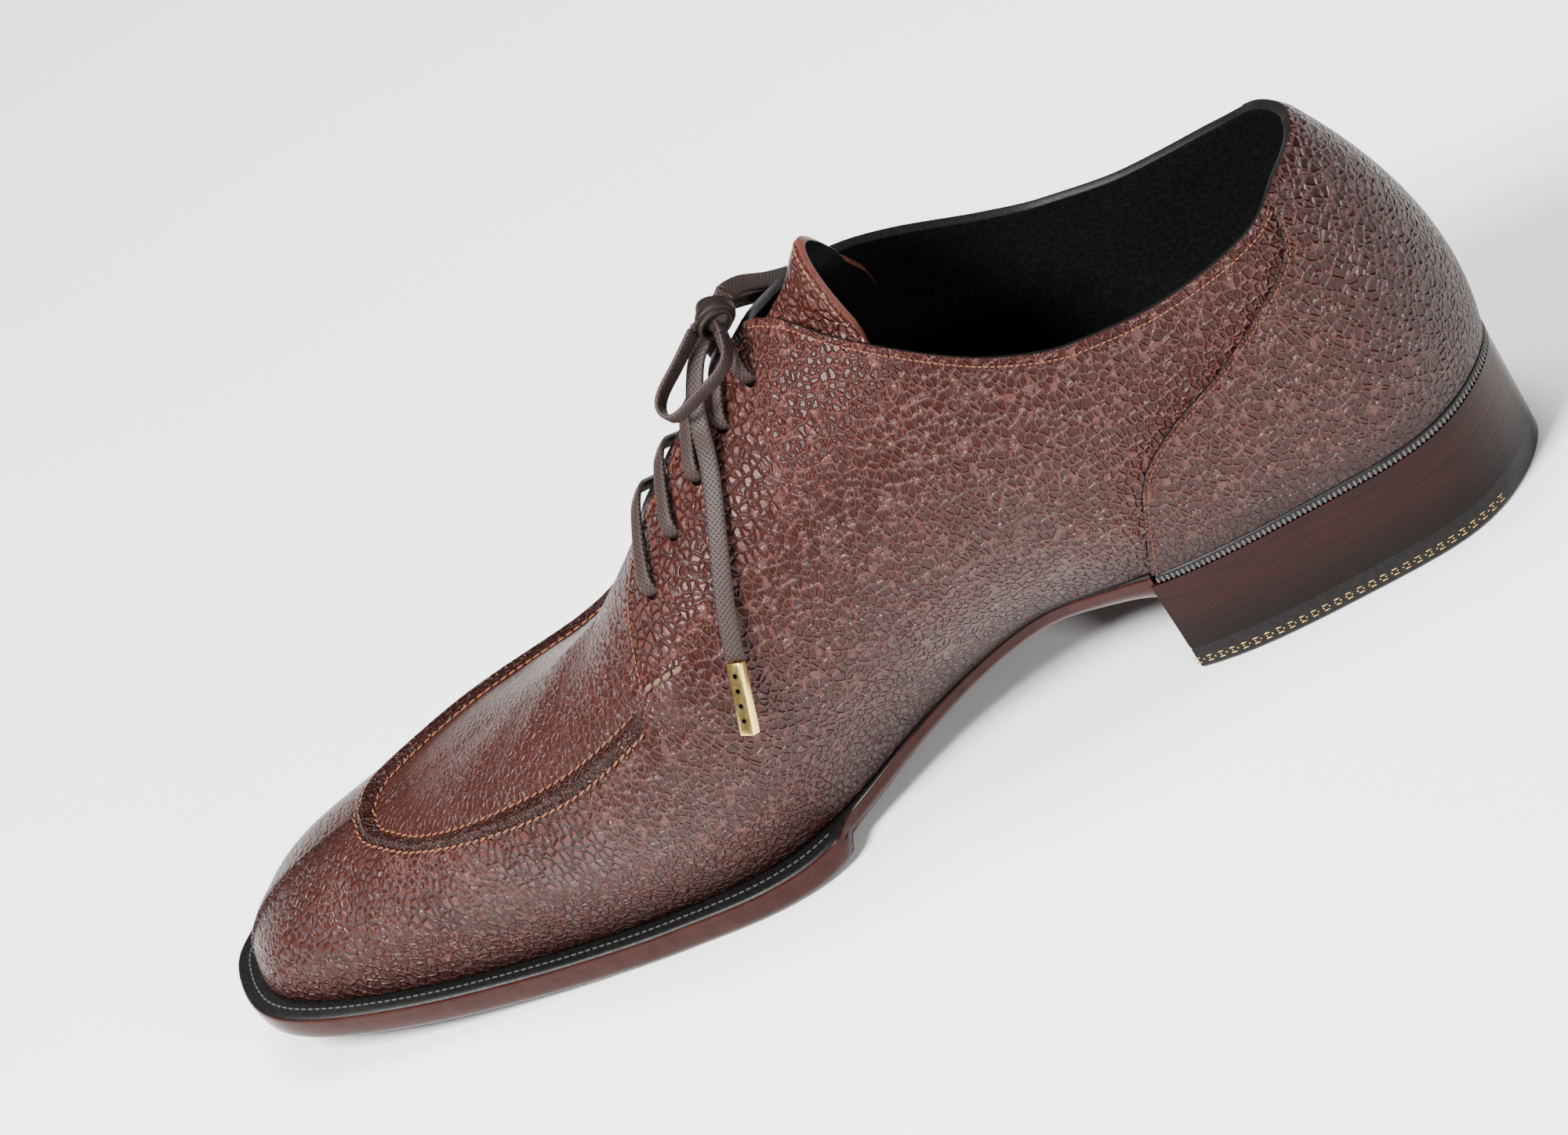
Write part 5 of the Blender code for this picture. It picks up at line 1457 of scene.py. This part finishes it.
@dataclass
class Sole:
    """Outsole, insole, welt, seat band and stacked heel."""

    per_station: int = 16
    across: int = 7
    insole_thickness: float = 0.0035
    welt_inner_reach: float = 0.0075
    breast_station: float = 4.0
    gilt_height: float = 0.0022

    def stations(self, low: float = 0.0, high: float = LAST_STATION) -> Array:
        """Fine section numbers between two."""
        return np.linspace(low, high, int((high - low) * self.per_station) + 1)

    def ladder(self, stations: Array, inner_margin: Array, outer_margin: Array,
               height: Callable[[Array], Array]) -> Array:
        """Sheet of rungs between the two sides of an outline."""
        cross = np.linspace(0, 1, self.across)
        inner, _ = LAST.outline(LAST.turn(Hand.INNER, stations), inner_margin)
        outer, _ = LAST.outline(LAST.turn(Hand.OUTER, stations), outer_margin)
        end = (stations == 0) | (stations == LAST_STATION)
        outer = np.where(end[:, None], inner, outer)
        plan = between(inner[:, None], outer[:, None], cross[:, None])
        return raised(plan, height((plan[..., 0] + ORIGIN_ALONG) / LENGTH))

    def build(self) -> None:
        """Build every piece of the bottom."""
        for step in (self.build_outsole, self.build_insole, self.build_welt, self.build_lasting_margin,
                     self.build_rand, self.build_heel):
            step()

    def build_outsole(self) -> None:
        """Outsole with a softly rounded, polished edge and a bevelled waist."""
        stations = self.stations()
        sides = [LAST.turn(hand, stations) for hand in Hand]
        profile = ((0.0, 1.0, 0.55), (0.05, 0.92, 0.20), (0.14, 0.74, 0.04), (0.34, 0.40, 0.0), (0.60, 0.12, 0.0),
                   (0.86, 0.0, 0.0), (0.97, 0.0, 0.0), (1.0, 0.0, 0.0))
        rounding = 0.0012 * smooth(stations, [4.0, 5.0], [0.0, 1.0])
        levels = []
        for part, cut, nip in profile:
            margins = [LAST.margin(side) - cut * LAST.cut(side) - nip * rounding for side in sides]
            levels.append(self.ladder(stations, *margins, lambda along, up=part:
                                      between(LAST.underside(along), LAST.sole_top(along), up)))
        sole = closed_between("outsole_body", levels, 50, SOLE_EDGE, SOLE_FACE, STACK)
        seat_end = HEEL_LENGTH - ORIGIN_ALONG - 0.001
        for polygon in sole.data.polygons:
            if polygon.normal.z < -0.97:
                polygon.material_index = 1
            elif polygon.center.x < seat_end + math.copysign(HEEL_SKEW / 2, polygon.center.y):
                polygon.material_index = 2
        seat(sole, "sole_edge", "outsole")

    def build_insole(self) -> None:
        """Black sock on the insole."""
        stations = self.stations()
        inset = np.full(len(stations), -(self.welt_inner_reach + GAP))
        levels = []
        for lift, nip in ((0.0, 0.0), (0.9, 0.0), (1.0, 0.0003)):
            levels.append(self.ladder(stations, inset - nip, inset - nip, lambda along, up=lift:
                                      LAST.sole_top(along) + GAP + self.insole_thickness * up))
        seat(closed_between("insole_sock", levels, 50, SOCK), "black_leather", "insole")

    def band(self, name: str, turns: Array, margin: Array, profile: Sequence[tuple[float, float]],
             *materials: Material) -> Item:
        """Ring between the sole and the upper.

        Args:
            name: Name of the object.
            turns: Places round the ring.
            margin: Reach of the outer edge at each place.
            profile: Height share and setback of each level, from the bottom up.
            materials: Its materials, of which all faces have the first.

        Returns:
            The ring.
        """
        reach = np.linspace(0, 1, 5)
        sheets = []
        for part, setback in profile:
            rows = []
            for step in reach:
                plan, along = LAST.outline(turns, between(-self.welt_inner_reach, margin - setback, step))
                rows.append(raised(plan, LAST.sole_top(along) + GAP + WELT_THICKNESS * part))
            sheets.append(np.stack(rows, 1))
        return closed_between(name, sheets, 40, *materials)

    def build_welt(self) -> None:
        """Welt with its fine stitches, from breast to breast round the toe."""
        turns = round_toe(self.stations(self.breast_station + 0.02))
        profile = ((-0.13, 0.0), (0.15, 0.0), (0.45, 0.0), (0.75, 0.0002), (0.92, 0.0006), (1.0, 0.0011))
        welt = self.band("welt_strip", turns, LAST.margin(turns), profile, WELT_BLACK, SOLE_EDGE)
        for polygon in welt.data.polygons:
            if abs(polygon.normal.z) < 0.55:
                polygon.material_index = 1
        seat(welt, "black_leather", "welt")
        turns = round_toe(np.linspace(6.9, LAST_STATION, 300))
        plan, along = LAST.outline(turns, np.maximum(LAST.margin(turns) * 0.42, 0.0004))
        line = raised(plan, LAST.sole_top(along) + GAP + WELT_THICKNESS)
        seat(flat_row("welt_stitches", line, GREY_THREAD, 0.00165, (0.00045, 0.00125, 0.0004)), "black_leather")

    def build_lasting_margin(self) -> None:
        """Black ring of turned-in leather between the upper, the welt and the seat band."""
        turns = round_toe(self.stations())[:-1]
        reach = np.linspace(self.welt_inner_reach - 0.0002, 0.0005, 6)
        sheets = []
        for lift in (-0.0004, 0.0012):
            rows = []
            for inset in reach:
                plan, along = LAST.outline(turns, np.full(len(turns), -inset))
                slope = 0.4 + 0.6 * (reach[0] - inset) / (reach[0] - reach[-1])
                height = LAST.sole_top(along) + GAP + WELT_THICKNESS + lift * (slope if lift > 0 else 1.0)
                rows.append(raised(plan, height))
            sheets.append(np.stack(rows, 1))
        seat(closed_between("lasting_margin", sheets, 50, SOCK, wrap=True), "black_leather")

    def build_rand(self) -> None:
        """Seat band with wheel notches."""
        stations = self.stations(0.0, self.breast_station - 0.02)
        turns = np.concatenate([-stations[:0:-1], stations])
        margin = LAST.margin(turns)
        profile = ((0.0, 0.0002), (0.15, 0.0), (0.8, 0.0), (1.0, 0.0004))
        seat(self.band("seat_band", turns, margin, profile, WELT_BLACK), "black_leather", "heel_rand")
        plan, along = LAST.outline(turns, margin)
        line = raised(plan, LAST.sole_top(along) + GAP + WELT_THICKNESS * 0.30)
        notches = flat_row("wheel_notches", line, NOTCH_GREY, 0.00115, (0.00040, 0.00050, 0.0014), crisp=True)
        seat(notches, "black_leather")

    @staticmethod
    def heel_side(hand: Hand, place: Array, taper: float) -> Array:
        """Outline of the heel's one side, drawn in by its own share of the taper."""
        strength = (0.35, 0.40, 0.45) if hand is Hand.INNER else (0.35, 1.0, 1.0)
        rim = LAST.margin(LAST.turn(hand, np.minimum(place, 3.8))) - taper * smooth(place, [0, 2, 5], strength)
        return LAST.outline(LAST.turn(hand, place), rim)[0]

    def heel_plan(self, taper: float, lean: float) -> Array:
        """Rungs of the heel's outline, drawn in towards the floor.

        Args:
            taper: How far the outline is drawn in.
            lean: How far the breast leans.

        Returns:
            Rows by columns of points in plan.
        """
        shares = np.concatenate([np.linspace(0, 0.4, 26), np.linspace(0.4, 1, 22)[1:]])
        cross = np.linspace(0, 1, self.across)
        fine = np.linspace(0, 4.4, 441)
        sides = []
        for hand in Hand:
            front = HEEL_LENGTH - hand.value * HEEL_SKEW / 2 - ORIGIN_ALONG - lean
            last = np.interp(front, self.heel_side(hand, fine, taper)[40:, 0], fine[40:])
            sides.append(self.heel_side(hand, shares * last, taper))
        inner, outer = sides
        outer[0] = inner[0]
        plan = between(inner[:, None], outer[:, None], cross[:, None])
        plan[..., 0] -= BREAST_HOLLOW * (4 * cross * (1 - cross))[None, :] * shares[:, None] ** 3
        return plan

    def heel_sheet(self, drop: float, nip: float, height: Callable[[Array], Array]) -> Array:
        """Sheet of the heel at a height.

        Args:
            drop: Share of the way from the sole to the floor, which sets taper and lean.
            nip: How far the edge is rounded in.
            height: Height read from the share of LENGTH.

        Returns:
            Rows by columns of points.
        """
        plan = self.heel_plan(HEEL_TAPER * drop + nip, -BREAST_LEAN * drop + nip)
        return raised(plan, height((plan[..., 0] + ORIGIN_ALONG) / LENGTH))

    def build_heel(self) -> None:
        """Heel of polished lifts, its black top piece and the gilt wheel line round it."""
        part = TOP_PIECE_THICKNESS / HEEL_LIFT
        levels = []
        for step in (0.0, 0.25, 0.5, 0.75, 1.0):
            levels.append(self.heel_sheet((1 - part) * (1 - step), -0.00012 * step, lambda along, up=step:
                                          between(TOP_PIECE_THICKNESS + 0.0001,
                                                  LAST.sole_top(along) - 0.0001, up)))
        seat(closed_between("heel_lifts", levels, 40, STACK), "stacked_leather", "heel_stack")
        levels = []
        for height, nip in ((0.0, 0.0006), (0.0003, 0.0002), (0.0008, 0.0), (0.0055, 0.0), (0.006, 0.0002)):
            levels.append(self.heel_sheet(1 - height / HEEL_LIFT, nip, lambda along, up=height:
                                          np.full(along.shape, up)))
        seat(closed_between("heel_top_piece", levels, 40, TOP_PIECE), "rubber", "top_piece")
        self.build_gilt_line()

    def build_gilt_line(self) -> None:
        """Row of small gilt lozenges and dots pressed round the foot of the heel."""
        rim = self.heel_sheet(1 - self.gilt_height / HEEL_LIFT, 0.00005,
                              lambda along: np.full(along.shape, self.gilt_height))
        lozenge = (0.0026, (0.0003, 0.0013, 0.00026))
        rows = (("upper", 0.00065, *lozenge), ("lower", -0.00065, *lozenge),
                ("dots", 0.0, 0.0013, (0.0003, 0.00035, 0.00035)))
        for hand, line in ((Hand.INNER, rim[::-1, 0]), (Hand.OUTER, rim[::-1, -1])):
            line = line[: int(len(line) * 0.56)]
            for name, rise, pitch, size in rows:
                seat(flat_row(f"gilt_{name}_{hand.side}", line + (0.0, 0.0, rise), GILT, pitch, size), "brass")


def smooth_route(points: Sequence[Sequence[float]], spacing: float) -> Array:
    """Evenly spaced points along a smooth curve through a route."""
    points = np.array(points)
    chord = np.concatenate([[0], np.cumsum(np.linalg.norm(np.diff(points, axis=0), axis=1) ** 0.5)])
    count = len(points)
    step = np.diff(chord)
    matrix = np.eye(count)
    pull = np.zeros_like(points)
    for k in range(1, count - 1):
        matrix[k, k - 1:k + 2] = (step[k - 1], 2 * (step[k - 1] + step[k]), step[k])
        pull[k] = 6 * ((points[k + 1] - points[k]) / step[k] - (points[k] - points[k - 1]) / step[k - 1])
    bend = np.linalg.solve(matrix, pull)
    place = np.linspace(0, chord[-1], 600)
    k = np.clip(np.searchsorted(chord, place, side="right") - 1, 0, count - 2)
    after = (place - chord[k])[:, None]
    before = (chord[k + 1] - place)[:, None]
    width = step[k][:, None]
    fine = (bend[k] * before**3 + bend[k + 1] * after**3) / (6 * width)
    fine = fine + (points[k] / width - bend[k] * width / 6) * before
    fine = fine + (points[k + 1] / width - bend[k + 1] * width / 6) * after
    return even_steps(fine, spacing)[0]


@dataclass
class Laces:
    """Flat waxed lace: bars, knot, loops and ends with their brass tips."""

    width: float = 0.0042
    bar_width: float = 0.0036
    strand_width: float = 0.0034
    wrap_width: float = 0.0030
    wrap_turns: float = 1.06
    thickness: float = 0.0012
    lift: float = 0.0010
    dive: float = 0.0028
    tip_length: float = 0.0152
    tip_radius: float = 0.0024
    tip_bevel: float = 0.00045
    tip_flatness: float = 0.78
    pin_radius: float = 0.00055
    pins: tuple[float, ...] = (-0.0048, -0.0017, 0.0014, 0.0045)
    knot_size: Triple = (0.0036, 0.0042, 0.0028)

    def tape(self, name: str, path: Array, face: Array, width: float | None = None) -> Item:
        """Flat tape along a path.

        Args:
            name: Name of the object.
            path: Points of the tape's middle line.
            face: Direction that the flat side looks in at each point.
            width: Width of the tape, if not the lace's own.

        Returns:
            The tape with its own map, along and across.
        """
        width = width or self.width
        ahead = unit(np.gradient(path, axis=0))
        across = unit(np.cross(face, ahead))
        up = np.cross(ahead, across)
        angles = np.linspace(0, 2 * math.pi, 14, endpoint=False)
        side = np.sign(np.cos(angles)) * np.abs(np.cos(angles)) ** 0.55 * width / 2
        rise = np.sign(np.sin(angles)) * np.abs(np.sin(angles)) ** 0.75 * self.thickness / 2
        count = len(angles)
        points = path[:, None, :] + across[:, None, :] * side[None, :, None] + up[:, None, :] * rise[None, :, None]
        faces = []
        for row in range(len(path) - 1):
            for k in range(count):
                after = (k + 1) % count
                faces.append([row * count + k, row * count + after, (row + 1) * count + after, (row + 1) * count + k])
        faces.append(list(range(count))[::-1])
        faces.append([(len(path) - 1) * count + k for k in range(count)])
        item = from_lists(name, points, faces, LACE)
        mesh = item.data
        length = distances(path)
        chart = mesh.uv_layers.new(name="lace_map")
        for polygon in mesh.polygons:
            for loop, vertex in zip(polygon.loop_indices, polygon.vertices):
                chart.data[loop].uv = (length[vertex // count], side[vertex % count])
        with editing(item):
            bpy.ops.mesh.normals_make_consistent(inside=False)
        mesh.shade_smooth()
        return item

    def build(self) -> None:
        """Build the bow first, and then the bars."""
        for hand in Hand:
            tip = self.build_tip(f"aglet_{hand.side}", LACE_ROUTES[f"lace_end_{hand.side}"])
            self.build_free(f"lace_end_{hand.side}")
            self.build_free(f"lace_loop_{hand.side}")
        self.build_knot()
        for number in range(1, len(EYELETS)):
            self.build_bar(number)
        self.build_top_strands()

    def build_free(self, node: str) -> None:
        """One loop or end of the bow."""
        path = smooth_route(LACE_ROUTES[node], 0.0011)
        face = self.free_face(node, path)
        item = self.tape(f"{node}_tape", path, face)
        seat(item, "waxed_lace", node)
        for index, label in ((0, "first"), (-1, "last")):
            if index == 0 or "loop" in node:
                self.build_neck(f"{node}_{label}_neck", path[index], face[index])

    def build_neck(self, name: str, end: Array, face: Array) -> None:
        """Short piece of lace from the end of a loop into the knot.

        Args:
            name: Name of the object.
            end: End of the loop.
            face: Direction that the lace's flat side looks in there.
        """
        steps = np.linspace(-0.12, 0.75, 7)[:, None]
        line = end + (KNOT_MIDDLE - end) * steps
        seat(self.tape(name, line, np.repeat(face[None, :], len(line), axis=0), self.width * 0.96), "waxed_lace")

    @staticmethod
    def free_face(node: str, path: Array) -> Array:
        """Direction that the flat side of a loop or an end looks in."""
        if "end" in node:
            face = path - INSTEP_CORE
            face[:, 0] *= 0.2
        else:
            middle = path.mean(0)
            ahead = np.gradient(path, axis=0)
            plane = np.cross(path[len(path) // 3] - middle, path[2 * len(path) // 3] - middle)
            face = np.cross(ahead, plane[None, :])
        return unit(face)

    def build_tip(self, node: str, route: Sequence[Sequence[float]]) -> Item:
        """Square brass tip with its row of pin marks."""
        path = smooth_route(route, 0.0052)
        direction = unit(path[-1] - path[-2])
        deselect()
        bpy.ops.mesh.primitive_cylinder_add(vertices=4, radius=self.tip_radius, depth=self.tip_length)
        tip = bpy.context.active_object
        tip.name = tip.data.name = f"{node}_brass"
        with editing(tip):
            bpy.ops.mesh.bevel(offset=self.tip_bevel, segments=2, affect="EDGES")
            bpy.ops.transform.rotate(value=math.radians(45), orient_axis="Z", center_override=(0.0, 0.0, 0.0))
            bpy.ops.transform.resize(value=(1.0, self.tip_flatness, 1.0), center_override=(0.0, 0.0, 0.0))
        marks = []
        for step in self.pins:
            deselect()
            bpy.ops.mesh.primitive_cylinder_add(vertices=10, radius=self.pin_radius, depth=0.01,
                                                location=(0, 0, step), rotation=(math.pi / 2, 0, 0))
            marks.append(bpy.context.active_object)
        tip.data.materials.append(BRASS)
        drill(tip, marks, HOLE_DARK)
        outward = path[-1] - INSTEP_CORE
        side = unit(np.cross(outward, direction))
        outward = np.cross(direction, side)
        middle = path[-1] + direction * (GAP + self.tip_length / 2)
        axes = np.stack([side, -outward, direction, middle], 1).tolist()
        tip.data.transform(Matrix((*axes, (0.0, 0.0, 0.0, 1.0))))
        tip.data.flip_normals()
        soften(tip, 30)
        seat(tip, "brass", node)
        return tip

    def build_knot(self) -> None:
        """Knot of wrapped tape round a soft middle."""
        deselect()
        bpy.ops.mesh.primitive_uv_sphere_add(segments=24, ring_count=16, radius=1.0)
        core = bpy.context.active_object
        points = np.array([vertex.co for vertex in core.data.vertices])
        waist = 1 - 0.22 * np.exp(-(points[:, 1] / 0.30) ** 2)
        points = points * self.knot_size * np.stack([waist, np.ones(len(points)), waist], 1)
        core.data.vertices.foreach_set("co", (points + KNOT_MIDDLE).reshape(-1).astype(np.float32))
        core.data.materials.append(LACE)
        pieces = [core]
        for tilt, shift, size in ((0.30, 0.0004, 1.0), (-0.55, -0.0018, 0.9), (0.9, 0.0022, 0.86)):
            angle = np.linspace(0, 2 * math.pi * self.wrap_turns, 60)
            sway = shift + 0.0007 * np.sin(angle + tilt) + tilt * 0.0011 * np.cos(angle)
            ring = np.stack([0.0037 * size * np.cos(angle), sway, 0.0031 * size * np.sin(angle)], 1)
            face = unit(ring * np.array([1.0, 0.0, 1.3]))
            pieces.append(self.tape("knot_wrap", ring + KNOT_MIDDLE, face, self.wrap_width))
        knot = merge("bow_knot", pieces)
        soften(knot, 60)
        seat(knot, "waxed_lace", "lace_knot")

    def strand(self, start: tuple[Hand, float, float], end: tuple[Hand, float, float]) -> tuple[Array, Array]:
        """Middle line and face of a bar from eyelet to eyelet, down into both holes."""
        walk = np.linspace(0, 1, 22)
        middle, crest = (start[1] + end[1]) / 2, 0.972
        stations = np.concatenate([between(start[1], middle, walk), between(middle, end[1], walk)])
        shares = np.concatenate([between(start[2], crest, walk), between(crest, end[2], walk)])
        turns = np.concatenate([LAST.turn(start[0], stations[:22]), LAST.turn(end[0], stations[22:])])
        normal = LAST.normal(turns, shares)
        away = np.concatenate([walk, walk[::-1]])
        height = self.lift * ramp(away, 0.0, 0.10) + self.thickness * 0.55 * ramp(away, 0.0, 0.05)
        path = LAST.point(turns, shares) + normal * height[:, None]
        ends = []
        for index, step in ((0, 1), (-1, -1)):
            inward = path[index] - normal[index] * self.dive
            outward = path[index] - (path[index + step] - path[index]) * 0.6
            ends.append(np.array([inward, (outward + inward) / 2 + normal[index] * self.dive * 0.3]))
        path = np.concatenate([ends[0], path, ends[1][::-1]])
        face = np.concatenate([np.repeat(normal[:1], 2, 0), normal, np.repeat(normal[-1:], 2, 0)])
        fine = even_steps(path, 0.0009)[0]
        length = distances(path)
        marks = np.linspace(0, length[-1], len(fine))
        face = np.stack([np.interp(marks, length, face[:, k]) for k in range(3)], 1)
        kernel = np.ones(5) / 5
        for curve in (fine, face):
            for k in range(3):
                curve[:, k] = np.convolve(np.pad(curve[:, k], 2, mode="edge"), kernel, mode="valid")
        return fine, face

    def build_bar(self, number: int) -> None:
        """Straight bar across one pair of eyelets."""
        name = f"lace_bar_{number + 1}"
        seat(self.tape(f"{name}_tape", *self.strand(*eyelets(EYELETS[number])), self.bar_width), "waxed_lace", name)

    def build_top_strands(self) -> None:
        """The two strands that rise from the top eyelets into the knot."""
        pieces = []
        for hand, station, share in eyelets(EYELETS[0]):
            turn = LAST.turn(hand, station)
            normal = LAST.normal(turn, share)
            hole = LAST.point(turn, share)
            goal = KNOT_MIDDLE + (0.0, -0.0030 * hand.value, -0.0008)
            route = [hole - normal * 0.0030, hole + normal * 0.0010 + (goal - hole) * 0.08,
                     hole * 0.62 + goal * 0.38 + normal * 0.0016, goal]
            path = smooth_route(route, 0.0008)
            face = np.repeat(normal[None, :], len(path), axis=0)
            pieces.append(self.tape("top_strand", path, face, self.strand_width))
        seat(merge("lace_top_strands", pieces), "waxed_lace", "lace_bar_1")


@dataclass
class Studio:
    """Camera at the photograph's angle, pale floor and soft lights."""

    camera_place: Triple = (-0.2420, 1.1117, 0.8108)
    camera_aim: Triple = (0.0880, 0.0742, 0.1003)
    camera_roll: float = 35.67
    lens: float = 156.0
    lights_aim: Triple = (0.1, 0.0, 0.05)
    surround: float = 0.19
    # Name, place, width and power of each soft box
    boxes: tuple[tuple[str, Triple, float, float], ...] = (
        ("over", (0.10, -0.10, 1.15), 0.50, 19.0),
        ("key", (0.50, 0.62, 0.92), 0.36, 47.0),
        ("heel", (-0.60, 0.84, 0.40), 0.20, 9.0),
    )

    def build(self) -> None:
        """Set up camera, floor, lights and surroundings."""
        data = bpy.data.cameras.new("camera")
        data.lens = self.lens
        data.sensor_width = 36.0
        data.clip_start = 0.05
        data.clip_end = 50.0
        camera = into_scene(bpy.data.objects.new("camera", data))
        look = Vector(self.camera_aim) - Vector(self.camera_place)
        turn = look.to_track_quat("-Z", "Y").to_matrix() @ Matrix.Rotation(math.radians(-self.camera_roll), 3, "Z")
        camera.matrix_world = Matrix.Translation(self.camera_place) @ turn.to_4x4()
        bpy.context.scene.camera = camera
        self.build_floor()
        self.build_lights()

    @staticmethod
    def build_floor() -> None:
        """Large pale floor just under the shoe."""
        deselect()
        bpy.ops.mesh.primitive_plane_add(size=14.0, location=(0.1, 0.0, -0.0002))
        floor = bpy.context.active_object
        floor.name = "studio_floor"
        floor.data.materials.append(PlainFinish("studio_paper", (0.93, 0.93, 0.93), roughness=0.95, variation=0.0,
                                                relief=0.0).material())

    def build_lights(self) -> None:
        """Soft boxes over the shoe and a bright surround."""
        world = bpy.data.worlds.new("studio")
        world.use_nodes = True
        background = world.node_tree.nodes["Background"]
        background.inputs["Color"].default_value = (1.0, 1.0, 1.0, 1.0)
        background.inputs["Strength"].default_value = self.surround
        bpy.context.scene.world = world
        for name, place, size, power in self.boxes:
            data = bpy.data.lights.new(name, "AREA")
            data.energy = power
            data.size = size
            light = into_scene(bpy.data.objects.new(name, data))
            light.location = place
            light.rotation_euler = (Vector(self.lights_aim) - Vector(place)).to_track_quat("-Z", "Y").to_euler()


def main() -> None:
    """Build the studio and every piece of the shoe."""
    logging.basicConfig(level=logging.INFO, format="%(name)s: %(message)s")
    Studio().build()
    Laces().build()
    Upper().build()
    Sole().build()


if __name__ == "__main__":
    main()
